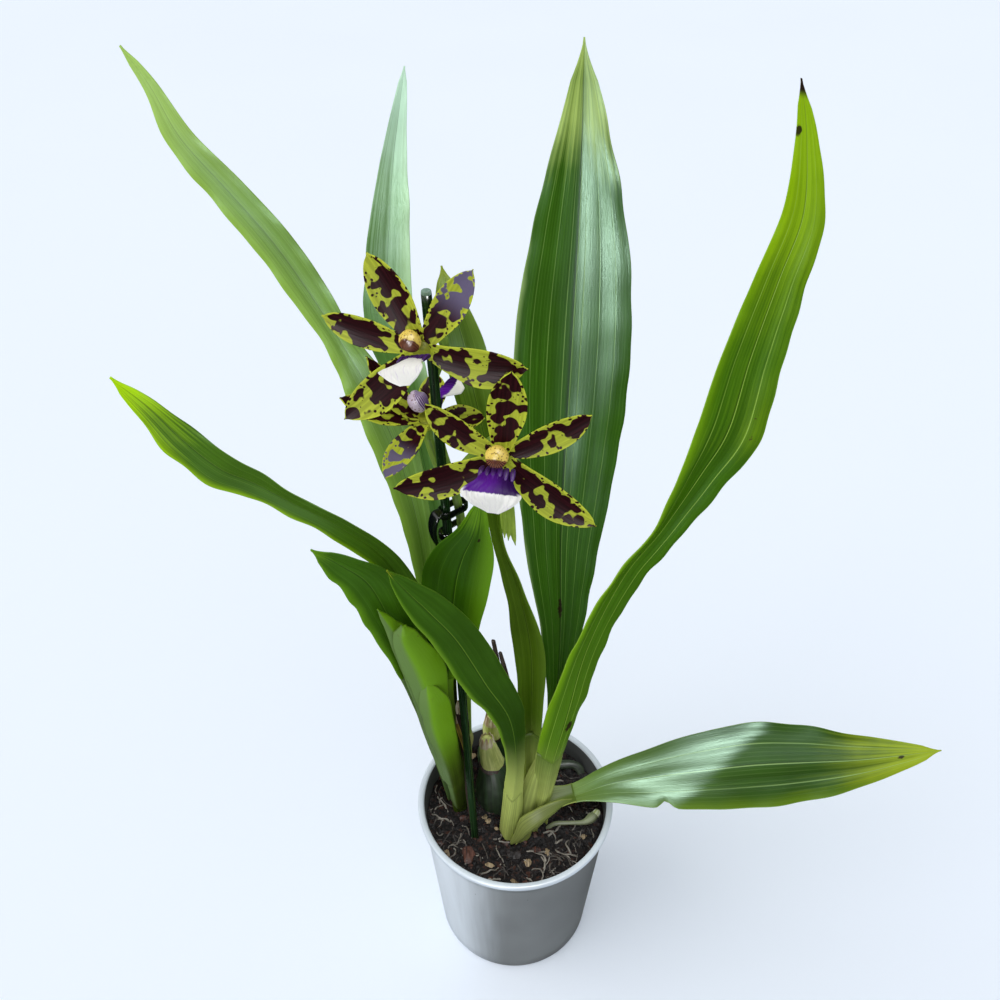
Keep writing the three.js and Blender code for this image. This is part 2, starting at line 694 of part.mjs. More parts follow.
const stakeFoot = [
  STAKE_FOOT[0] + ((STAKE_FOOT[0] - STAKE_TOP[0]) * STAKE_BURIED) / (STAKE_TOP[2] - STAKE_FOOT[2]),
  STAKE_FOOT[1] + ((STAKE_FOOT[1] - STAKE_TOP[1]) * STAKE_BURIED) / (STAKE_TOP[2] - STAKE_FOOT[2]),
  STAKE_FOOT[2] - STAKE_BURIED,
];

function stakeBody(grow = 0) {
  return rod(stakeFoot, STAKE_TOP, STAKE_DIAMETER / 2, grow, 16);
}

const CLIP_RADIUS = 3;
const CLIP_SPAN = 6.3;
const CLIP_TURN = 40;
const CLIP_BANDS = [255, 260.3, 265.6];
const CLIP_BAND_DEPTH = 2.4;

// A claw clip: jaws round the cane and the spike, a spine behind them and a finger tab hooked forward.
function clipBody() {
  const outline = new THREE.Shape();
  outline.absarc(0, 0, CLIP_RADIUS, Math.PI / 2, (3 * Math.PI) / 2, false);
  outline.absarc(CLIP_SPAN, 0, CLIP_RADIUS, -Math.PI / 2, Math.PI / 2, false);
  const band = (z) => {
    const ring = new THREE.ExtrudeGeometry(outline, {
      depth: CLIP_BAND_DEPTH, bevelEnabled: false, curveSegments: 6,
    });
    ring.rotateZ(CLIP_TURN * DEGREE);
    ring.translate(-26.1, -1.5, z);
    return fromGeometry(ring);
  };
  const spine = rod([-25.8, 3.1, 255.5], [-25.8, 3.1, 267], 1.1, 0, 8);
  const tab = blade([
    [-27.6, -3.4, 266.8, 2.2, -60, 0, 0], [-29.8, -4.8, 265.4, 2.4, -60, 0, 0],
    [-30.4, -5.4, 259, 2.2, -60, 0, 0], [-28.8, -5.6, 253, 1.2, -60, 0, 0],
  ], { columns: 3, steps: 2, thickness: 1.4 });
  return fuse([...CLIP_BANDS.map(band), spine, tab])
    .subtract(stakeBody(GAP))
    .subtract(grown(SPIKE_AXIS, SPIKE_OPTIONS));
}

// ---------------------------------------------------------------- old growths and roots

const OLD_BULB = [
  [-8.5, 7, 64, 5], [-8.5, 7, 74, 8], [-8.5, 7, 86, 10], [-9, 7.5, 97, 8.6], [-10.5, 8, 105, 5.8],
  [-11, 8, 108, 5.2], [-12, 8, 114, 4.6], [-13, 8, 122, 3.2],
];
const BACK_BULB = [
  [-10, 28, 64, 4], [-10, 28, 74, 6.5], [-10, 28, 84, 8], [-10, 26, 96, 6.6], [-10.5, 23.5, 107, 4.6],
  [-11, 21.5, 114, 4.2], [-11, 20, 122, 3],
];
const STALKS = [
  [[2, 25, 66, 1.4], [1, 24.5, 90, 1.4], [-2, 22.5, 120, 1.3], [-6, 20.5, 145, 1.2], [-10, 20, 175, 0.9]],
  [[2, 25, 66, 1.4], [2.8, 25, 90, 1.4], [0.5, 23, 120, 1.2], [-4, 20.5, 150, 1.1], [-7, 19.5, 168, 0.8]],
];
const HUSK = [
  [-20.8, -4, 82.4, 1.2, -30, 0, -30],
  [-21.2, -4.6, 100, 1.5, -30, 0, -30],
  [-21.6, -4.6, 118, 1.7, -30, 0, -30],
  [-21.3, -5, 132, 1.9, -40, 0, -25],
  [-21.7, -4.6, 148, 1.9, -40, 0, -30],
  [-22.8, -3.8, 166, 0.9, -35, 0, -30],
];
const BACK_ROOT = [
  [8, 17, 72, 1.8], [13, 20, 80, 2], [20, 22, 83, 2.2], [27, 22.6, 83.4, 2.2], [31.4, 21.6, 81, 2],
  [33, 19.6, 74, 1.6],
];
const FRONT_ROOT = [
  [13, -9, 76, 1], [18, -9.5, 83, 1], [25, -10, 84.6, 0.95], [31, -9.6, 84.4, 1.2], [35, -7.6, 84.8, 2.2],
  [38, -4.8, 86, 1.4],
];
const ROOT_OPTIONS = { sides: 8, steps: 2 };

// ---------------------------------------------------------------- assembly

const parts = [
  ['pot', potBody(), 'pot'],
  ['soil', soilBody([
    grown(RIGHT_CORE, { sides: 10 }), grown(LEFT_CORE, { sides: 10 }), grown(SPIKE_AXIS, SPIKE_OPTIONS),
    stakeBody(GAP), grown(OLD_BULB, { sides: 12 }), grown(BACK_BULB, { sides: 12 }),
    ...STALKS.map((rows) => grown(rows, { sides: 6 })), grown(BACK_ROOT, ROOT_OPTIONS),
    grown(FRONT_ROOT, ROOT_OPTIONS),
  ]), 'soil'],
  ['stake', stakeBody(), 'stake'],
  ['clip', clipBody(), 'clip'],
  ['spike', spikeBody(), 'spike'],
  ['old_bulb', stem(OLD_BULB, { sides: 12 }), 'bulb'],
  ['back_bulb', stem(BACK_BULB, { sides: 12 }), 'bulb'],
  ['dried_stalks', fuse(STALKS.map((rows) => stem(rows, { sides: 6 }))), 'dry'],
  ['husk', blade(HUSK, { columns: 3, steps: 2, thickness: 0.8 }), 'dry'],
  ['back_root', stem(BACK_ROOT, ROOT_OPTIONS), 'root'],
  ['front_root', stem(FRONT_ROOT, ROOT_OPTIONS), 'root'],
  ['right_shoot', shoot(RIGHT_CORE, Object.keys(LEAVES).filter((n) => n.startsWith('right')), RIGHT_BRACTS),
    'sheath'],
  ['left_shoot', shoot(LEFT_CORE, Object.keys(LEAVES).filter((n) => n.startsWith('left')), LEFT_BRACTS),
    'sheath'],
  ...Object.entries(LEAVES).map(([name, { finish }]) => [name, leafBlade(name), finish]),
  ...Object.entries(BLOOMS).flatMap(([name, bloom]) => [
    [`${name}_bloom_tepals`, tepals(bloom), 'tepal'],
    [`${name}_bloom_lip`, lip(bloom), 'lip'],
    [`${name}_bloom_column`, column(bloom), 'column'],
  ]),
];

const orchid = new THREE.Group();
for (const [name, solid, finish] of parts) {
  const mesh = new THREE.Mesh(toGeometry(solid), new THREE.MeshStandardMaterial(FINISH[finish]));
  mesh.name = name;
  orchid.add(mesh);
}

export default orchid;
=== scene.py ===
"""A zygopetalum orchid in its pot: the visual model over its CAD frame."""

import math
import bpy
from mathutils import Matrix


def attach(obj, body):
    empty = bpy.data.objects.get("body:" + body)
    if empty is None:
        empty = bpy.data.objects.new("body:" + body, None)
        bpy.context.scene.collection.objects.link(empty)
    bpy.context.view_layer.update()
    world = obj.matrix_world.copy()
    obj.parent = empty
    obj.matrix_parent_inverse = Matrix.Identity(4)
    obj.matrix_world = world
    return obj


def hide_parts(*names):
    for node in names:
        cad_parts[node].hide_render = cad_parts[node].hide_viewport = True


bl_info = {
    "name": "Potted orchid",
    "version": (1, 0, 0),
    "blender": (4, 5, 0),
    "location": "3D View > Sidebar > Orchid",
    "description": "Builds a zygopetalum orchid in flower, in its grey pot",
    "category": "Object",
}

from functools import partial

import bpy
import numpy as np
from bpy.props import FloatProperty, FloatVectorProperty, IntProperty, PointerProperty

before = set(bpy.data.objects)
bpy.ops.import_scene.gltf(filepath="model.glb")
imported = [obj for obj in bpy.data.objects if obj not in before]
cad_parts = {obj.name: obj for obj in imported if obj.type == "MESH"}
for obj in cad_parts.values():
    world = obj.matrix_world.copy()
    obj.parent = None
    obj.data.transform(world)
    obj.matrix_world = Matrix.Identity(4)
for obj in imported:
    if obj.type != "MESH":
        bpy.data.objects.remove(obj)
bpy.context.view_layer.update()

MM = 0.001

# ---------------------------------------------------------------- sizes shared with the CAD, in mm

POT_RIM_RADIUS = 45
POT_FOOT_RADIUS = 36.5
POT_HEIGHT = 90
POT_WALL = 1.2
POT_RIM_WIDTH = 3
POT_RIM_DEPTH = 3
POT_FLOOR_TOP = 5
POT_FLOOR_LIFT = 2
POT_CENTRE_FOOT = 7
DRAIN_CIRCLE = 22
DRAIN_RADIUS = 3.5
DRAIN_COUNT = 6
FOOT_ROUND = 0.8
SOIL_LEVEL = 79.5
SOIL_ROUGHNESS = 1.1
GAP = 0.35

# A turned body closes at this radius round its axis.
AXIS = 0.05

LEAF_THICKNESS = 0.9
SHEATH_THICKNESS = 1.6
TEPAL_THICKNESS = 0.8
TEPAL_ROOT = 2.2

STAKE_RADIUS = 1.7
STAKE_FOOT = (-18.6, -13.4, 80)
STAKE_TOP = (-29.3, 4, 349)
# The cane's lower end, in the mix.
STAKE_END = 18

# Heights of the spike's nodes, and the row of a bulb at which its stub starts.
SPIKE_NODES = (118, 168, 222)
BULB_NECK = 4

# The clip's jaws: half the width of a loop, the way between its two round ends, how thick and how high it
# is, how it is turned, where it stands and at which heights.
JAW_RADIUS = 2.5
JAW_SPAN = 6.3
JAW_WALL = 0.92
JAW_HEIGHT = 3
JAW_TURN = 40
JAW_PLACE = (-26.1, -1.5)
JAW_LEVELS = (255.7, 265.7)

# Rows of a blade: x, y, z, half width, heading and rise of its width, fold (mm and degrees).
# Rows of a stem: x, y, z, radius.

LEAVES = {
    "right_leaf_back": {"sheath": 2, "folds": 4, "pleat": 0.5, "slot": "deep_leaf", "rows": [
        [10, -10, 84, 4.5, 0, 0, 55], [13, -6, 112, 4, 0, 0, 60], [17, 2, 150, 4, 0, 0, 55],
        [18, 11, 187, 8, 0, 0, 30], [17, 20, 230, 14.5, 0, 0, 16], [18, 32, 278, 20, 3, -2, 10],
        [19, 43, 314, 20.5, 3, -2, 8], [20, 53, 346, 16, 2, -2, 10], [20, 60, 376, 8.6, 0, 0, 15],
        [19, 63, 404, 0.7, 0, 0, 15],
    ]},
    "right_leaf_centre": {"sheath": 2, "slot": "leaf", "rows": [
        [6, -13, 84, 4, -10, 0, 55], [7, -12, 106, 3, -10, 5, 55], [6, -4, 141, 4.3, -8, 5, 45],
        [5, 7, 182, 6.5, -12, 5, 30], [-2, 14, 214, 4, -25, 8, 40], [-8, 19, 234, 2.4, -22, 14, 45],
        [-11, 26, 262, 5, -18, 12, 30], [-17, 33, 294, 7.6, -15, 10, 15], [-20, 37, 310, 8, -14, 8, 12],
        [-24, 40, 325, 5.4, -12, 6, 15], [-27, 45, 336, 0.7, -12, 5, 15],
    ]},
    "right_leaf_left": {"sheath": 2, "slot": "deep_leaf", "rows": [
        [-2.5, -14, 84, 5, -20, 0, -50], [-2, -15.5, 98, 4.8, -20, 5, -50],
        [-1.4, -17, 121, 4.2, -5, 5, -50], [-0.8, -18, 146, 4, 5, 10, -40],
        [-4, -20, 177, 6.4, 14, 14, -25], [-13, -22, 200, 8.6, 18, 20, -15],
        [-23, -24, 226, 8.2, 20, 23, -12], [-32, -27, 244, 7, 18, 27, -12],
        [-38, -29, 255, 4.4, 16, 29, -15], [-44, -31, 266, 0.7, 16, 29, -15],
    ]},
    "right_leaf_tall": {"sheath": 2, "folds": 3, "pleat": 0.3, "slot": "leaf", "rows": [
        [8, -9, 84, 4.5, 5, -5, -55], [11.6, -12, 112, 4.6, 5, -7, -52], [14, -13, 143, 6, 10, -10, -40],
        [20, -8, 169, 8, 22, -16, -15], [28, -4, 200, 7, 22, -20, 10], [40, 1, 228, 8, 28, -25, 22],
        [53, 4, 250, 6.5, 20, -28, 28], [64, 7, 274, 9.5, 8, -24, 18], [71, 9, 292, 12, 2, -18, 12],
        [75, 13, 318, 10.6, 3, -12, 12], [80, 16, 345, 8.6, 3, -14, 12], [84, 18, 366, 7, -2, -18, 14],
        [81, 20, 388, 3.6, -5, -12, 15], [76, 20, 405, 0.7, -5, -10, 15],
    ]},
    "right_leaf_low": {"sheath": 3, "folds": 3, "pleat": 0.4, "slot": "deep_leaf", "rows": [
        [-0.6, -14, 83, 6.2, -80, 0, 48], [3.6, -13.6, 96, 6.6, -80, 0, 50],
        [12, -13, 106.5, 6.8, -80, 0, 50], [26, -9, 107, 4.8, -80, 0, 35], [41, -6, 109, 8.6, -80, -8, 8],
        [60, -3, 109, 13, -83, -20, -5], [83, -1, 112, 16.5, -85, -33, -7],
        [106, 0, 115, 18.5, -85, -36, -7], [128, 0, 117, 16.5, -85, -36, -7],
        [150, -1, 120, 11.8, -82, -34, -6], [170, -2, 125, 6, -80, -32, -5],
        [185, -3, 130, 0.7, -80, -30, -5],
    ]},
    "left_leaf_tall": {"sheath": 3, "folds": 3, "pleat": 0.3, "slot": "leaf", "rows": [
        [-28, 3, 88, 3, 10, 0, 55], [-29, 3, 115, 3, 10, 0, 55], [-31, 6, 155, 3.6, 20, 0, 50],
        [-34, 12, 199, 4.3, 20, 2, 45], [-38, 17, 241, 5.4, 5, 8, 30], [-45, 23, 276, 8, 4, 14, 15],
        [-54, 27, 300, 7.8, 5, 18, 12], [-62, 31, 315, 5.5, 8, 18, 22], [-72, 35, 333, 6.5, 8, 15, 18],
        [-82, 37, 350, 6.6, 6, 15, 14], [-94, 39, 366, 6, 6, 16, 14], [-105, 40, 381, 4.4, 8, 20, 15],
        [-111, 40, 397, 2.3, 5, 30, 15], [-117, 40, 408, 0.7, 5, 30, 15],
    ]},
    "left_leaf_low": {"sheath": 3, "slot": "leaf", "rows": [
        [-28, 1, 88, 3, 20, 0, 55], [-30, 0, 115, 3, 20, 0, 55], [-32, 0, 162, 5, 25, 2, 40],
        [-39, 0, 210, 5.8, 20, 10, 28], [-48, -1, 240, 5, 15, 25, 22], [-64, -2, 258, 4.9, 5, 40, 22],
        [-79, -2, 269, 5, -5, 45, 20], [-91, -2, 278, 7, -5, 42, 15], [-101, -3, 285, 8.5, -5, 38, 12],
        [-111, -3, 297, 7.5, -5, 34, 12], [-120, -3, 311, 5, -8, 30, 15], [-128, -4, 323, 0.7, -8, 28, 15],
    ]},
    "left_leaf_short": {"sheath": 3, "slot": "deep_leaf", "rows": [
        [-28, 0, 88, 3, 0, 0, 55], [-31, -4, 115, 3, 0, 5, 55], [-35, -7, 152, 4.5, 20, 5, 40],
        [-40.8, -10.4, 190, 5.6, 25, 12, 26], [-46.4, -12, 217, 8.3, 24, 16, 15],
        [-53, -14, 241, 8.8, 20, 24, 12], [-62, -16, 253, 6, 12, 34, 14], [-71, -18, 263, 0.7, 8, 36, 15],
    ]},
    "left_leaf_upright": {"sheath": 3, "slot": "deep_leaf", "rows": [
        [-27, 0, 88, 3, 0, 0, -50], [-29, -3, 120, 3, 0, 0, -50], [-30, -6, 155, 4.5, -5, 0, -40],
        [-29.2, -8, 187, 4.2, -8, -2, -25], [-26, -9, 205, 9, -6, -2, -15],
        [-23, -12, 241, 12.2, 0, -4, -10], [-20, -13, 257, 10.8, 6, -8, -10],
        [-16, -14, 269, 5.6, 8, -10, -15], [-13, -15, 285, 0.7, 8, -10, -15],
    ]},
    "left_leaf_back": {"sheath": 3, "slot": "leaf", "rows": [
        [-27, 4, 88, 3, 0, 0, 55], [-28, 5, 115, 2.8, 0, 0, 55], [-29, 10, 155, 3.4, 0, 0, 50],
        [-30, 17, 195, 3.8, -4, 3, 45], [-31, 23, 230, 4.2, -6, 6, 35], [-36, 31, 263, 6.3, -5, 8, 20],
        [-41, 39, 293, 8.1, -5, 8, 12], [-46, 45, 315, 9, -4, 6, 10], [-46, 50, 332, 7.9, 0, 2, 10],
        [-44, 54, 351, 6.5, 4, 0, 12], [-42, 58, 368, 4.3, 6, 0, 14], [-39, 60, 385, 2.2, 8, 0, 15],
        [-37, 61, 396, 0.7, 8, 0, 15],
    ]},
}

# Short leaves that wrap a shoot, and the stem inside each shoot.
LEFT_BRACTS = [
    [
        [-30, -3, 110, 3, 20, 5, -45], [-36, -7, 150, 3.5, 30, 8, -40], [-39, -10, 176, 3.5, 28, 10, -30],
        [-44, -15, 215, 4.2, 28, 14, -20], [-47, -16, 224, 2.6, 30, 20, -20],
        [-51, -17, 233, 0.7, 30, 22, -20],
    ],
    [
        [-28, -4, 110, 4, 10, 0, -50], [-30, -8, 140, 4.6, 10, 5, -45], [-33, -12, 169, 5.5, 12, 7, -40],
        [-36, -16, 200, 8.3, 8, 8, -30], [-41, -18, 218, 5.6, 5, 10, -30], [-42, -19, 227, 2.8, 0, 8, -40],
    ],
    [
        [-26, 0, 86, 3, 0, 0, -50], [-28, -7, 123, 4.4, 0, 5, -45], [-32, -13, 162, 6.4, 0, 5, -40],
        [-33, -17, 183, 5.8, 0, 5, -40], [-35, -19, 197, 0.8, -10, 10, -40],
    ],
]
RIGHT_BRACTS = [
    [
        [-1.9, -18.5, 83, 0.8, 0, -45, -30], [1.4, -19.6, 90, 3, 0, -48, -40],
        [4.8, -20, 99.5, 5, 0, -52, -40], [9.7, -19.6, 105.5, 4.6, 0, -56, -40],
        [14.7, -18.2, 108.6, 3.8, 0, -60, -35], [19.7, -16.5, 110.8, 2, 0, -64, -30],
        [24.5, -14.5, 110.4, 0.6, 0, -66, -30],
    ],
]
RIGHT_CORE = [
    [2, -12, 66, 4], [2, -12, 80, 5.2], [3, -12, 90, 5.4], [5.6, -11.6, 105, 4.8], [8, -11.5, 122, 3.8],
    [10, -11, 134, 2.2],
]
LEFT_CORE = [
    [-26, 2, 66, 3], [-26, 2, 80, 3.4], [-27, 0, 105, 4.2], [-29, -2, 135, 5.4], [-32, -3, 165, 5],
    [-34, -3, 184, 3],
]

# A bloom's place, the way it faces and its top, and for its lip and column, where they differ, gaze and
# crown. Its tepals: turn from the top, length, width, how far the tip comes forward, sideways bow.
SEPAL, PETAL = 12, 10
BLOOMS = {
    "top": {
        "at": [-30, -12, 338], "facing": [-0.3, -0.95, 0.1], "gaze": [-0.48, -0.84, 0.28],
        "up": [0, 0, 1], "crown": [-0.17, 0.38, 0.91], "lip_size": 0.88, "lip_drop": 0.8,
        "tepals": [
            [-30, 32, SEPAL, 1, 0], [30, 32, PETAL, 2, 0], [-79, 32, PETAL, 1, -1], [93, 32, SEPAL, -2, 2],
            [-137, 37, SEPAL, 3, -1],
        ],
    },
    "front": {
        "at": [-7, -22, 306], "facing": [-0.08, -1, 0.05], "gaze": [-0.18, -1, 0.05], "up": [0, 0, 1],
        "tepals": [
            [6, 32, SEPAL, 3, 0], [-51, 29, PETAL, 1, -2], [58, 32, PETAL, 1, 1.5], [-111, 36, SEPAL, 2, -3],
            [126, 38, SEPAL, 4, 2.5],
        ],
    },
    "rear": {
        "at": [-32.3, 18.5, 291], "facing": [0, -0.2, 1], "gaze": [0.12, 0.15, 1], "up": [-1, 0, 0.1],
        "crown": [-1, 0.3, 0.1],
        "tepals": [
            [4, 30, SEPAL, 8, 0], [24, 22, PETAL, 21, 0], [-61, 27, PETAL, -4, 0], [95, 20, PETAL, 3, 0],
            [-178, 20, SEPAL, 2, 0],
        ],
    },
}

SPIKE_AXIS = [
    [-22, 9, 64, 1.8], [-22, 9, 90, 1.8], [-21.5, 8, 130, 1.8], [-21, 6, 180, 1.7], [-20.6, 4, 225, 1.6],
    [-21, 2.4, 258, 1.6], [-24.2, 3.4, 278, 1.5], [-27.4, 4.4, 294, 1.4], [-28.6, 6.4, 318, 1.3],
]
OLD_BULB = [
    [-8.5, 7, 64, 5], [-8.5, 7, 74, 8], [-8.5, 7, 86, 10], [-9, 7.5, 97, 8.6], [-10.5, 8, 105, 5.8],
    [-11, 8, 108, 5.2], [-12, 8, 114, 4.6], [-13, 8, 122, 3.2],
]
BACK_BULB = [
    [-10, 28, 64, 4], [-10, 28, 74, 6.5], [-10, 28, 84, 8], [-10, 26, 96, 6.6], [-10.5, 23.5, 107, 4.6],
    [-11, 21.5, 114, 4.2], [-11, 20, 122, 3],
]
STALKS = [
    [
        [2, 25, 66, 1.4], [1, 24.5, 90, 1.4], [-2, 22.5, 120, 1.3], [-6, 20.5, 145, 1.2],
        [-10, 20, 175, 0.9],
    ],
    [
        [2, 25, 66, 1.4], [2.8, 25, 90, 1.4], [0.5, 23, 120, 1.2], [-4, 20.5, 150, 1.1],
        [-7, 19.5, 168, 0.8],
    ],
]
HUSK = [
    [-20.8, -4, 82.4, 1.2, -30, 0, -30], [-21.2, -4.6, 100, 1.5, -30, 0, -30],
    [-21.6, -4.6, 118, 1.7, -30, 0, -30], [-21.3, -5, 132, 1.9, -40, 0, -25],
    [-21.7, -4.6, 148, 1.9, -40, 0, -30], [-22.8, -3.8, 166, 0.9, -35, 0, -30],
]
BACK_ROOT = [
    [8, 17, 72, 1.8], [13, 20, 80, 2], [20, 22, 83, 2.2], [27, 22.6, 83.4, 2.2], [31.4, 21.6, 81, 2],
    [33, 19.6, 74, 1.6],
]
FRONT_ROOT = [
    [13, -9, 76, 1], [18, -9.5, 83, 1], [25, -10, 84.6, 0.95], [31, -9.6, 84.4, 1.2], [35, -7.6, 84.8, 2.2],
    [38, -4.8, 86, 1.4],
]
PEDICELS = {
    "top": [[-28.6, 6.2, 315, 1.2], [-25, 5, 326, 1.3], [-24.6, 0, 334, 1.6]],
    "front": [[-23, 3, 272, 1.2], [-20, -2, 286, 1.3], [-12, -9, 300, 1.7]],
    "rear": [[-25.6, 4, 284, 1.2], [-28.5, 9, 277, 1.3]],
}

# Ragged strips along the centre leaf's torn margin.
TORN_EDGE = [
    [
        [-6.4, 17, 258, 0.9, -15, 5, 10], [-5.9, 16.9, 250, 1.2, -15, 5, 10],
        [-5.5, 16.8, 243, 1.2, -15, 5, 10], [-5.3, 16.8, 237, 0.3, -15, 5, 10],
    ],
    [
        [-4.8, 16.8, 258, 0.9, -15, 5, 10], [-4.2, 16.6, 250, 1.3, -15, 5, 10],
        [-3.8, 16.5, 242, 1.2, -15, 5, 10], [-3.9, 16.5, 236, 0.3, -15, 5, 10],
    ],
    [
        [-3.2, 16.6, 258, 0.9, -15, 5, 10], [-2.7, 16.3, 250, 1.2, -15, 5, 10],
        [-2.1, 16.2, 240, 1.2, -15, 5, 10], [-1.2, 16.2, 233.8, 0.3, -15, 5, 10],
    ],
]

# Shreds of the husk between the left shoot and the cane, each after its material slot.
HUSK_SHREDS = [
    (0, [
        [-20.6, -4.2, 112, 1.2, -20, 0, -20], [-21.8, -4.4, 126, 1.8, -20, 0, -20],
        [-23.2, -4.6, 141, 2.4, -20, 0, -20], [-24, -4.6, 153, 2.2, -20, 0, -20],
        [-24, -4.4, 162, 1.4, -20, 0, -20], [-23.6, -4.2, 167, 0.4, -20, 0, -20],
    ]),
    (1, [
        [-22, -5.6, 132, 0.8, -20, 10, 10], [-23.4, -5.6, 141, 1, -20, 10, 10],
        [-24.8, -5.4, 149, 0.9, -20, 10, 10], [-25.6, -5.2, 155, 0.3, -20, 10, 10],
    ]),
    (2, [
        [-24.2, -5.2, 158, 0.9, -20, 0, 10], [-24.4, -5.2, 162, 1, -20, 0, 10],
        [-24.5, -5, 166.5, 0.5, -20, 0, 10],
    ]),
    (2, [
        [-25.4, -5.4, 152, 0.7, -20, 0, 10], [-26, -5.4, 156, 0.9, -20, 0, 10],
        [-26.3, -5.2, 160, 0.4, -20, 0, 10],
    ]),
]

# The clip's spine and its finger tab.
CLIP_SPINE = [[-25.8, 3.1, 255.3, 1], [-25.8, 3.2, 261, 1.1], [-25.8, 3.1, 267.2, 1]]
CLIP_TAB = [
    [-27.2, -3.2, 267.3, 1.9, -60, 0, 0], [-29.4, -4.7, 266.4, 2.4, -60, 0, 0],
    [-30.5, -5.5, 262, 2.5, -60, 0, 0], [-30.2, -5.6, 257, 2.1, -60, 0, 0],
    [-28.7, -5.6, 252.6, 1.1, -60, 0, 0],
]

# Nicks in a leaf's right margin: the row they are at, their half length in rows and their depth.
NICKS = {"right_leaf_low": (5.24, 0.13, 0.24)}

# Tepals whose blotches are painted lilac in their outer half, a painted reflection of the sky, counted from
# 0.
PAINTED_SHEEN_TEPALS = {"top": 1, "rear": 2}

# Where each lip turns from violet to white, as a share of its length.
WHITE_FROM = {"top": 0.2, "front": 0.58, "rear": 0.8}
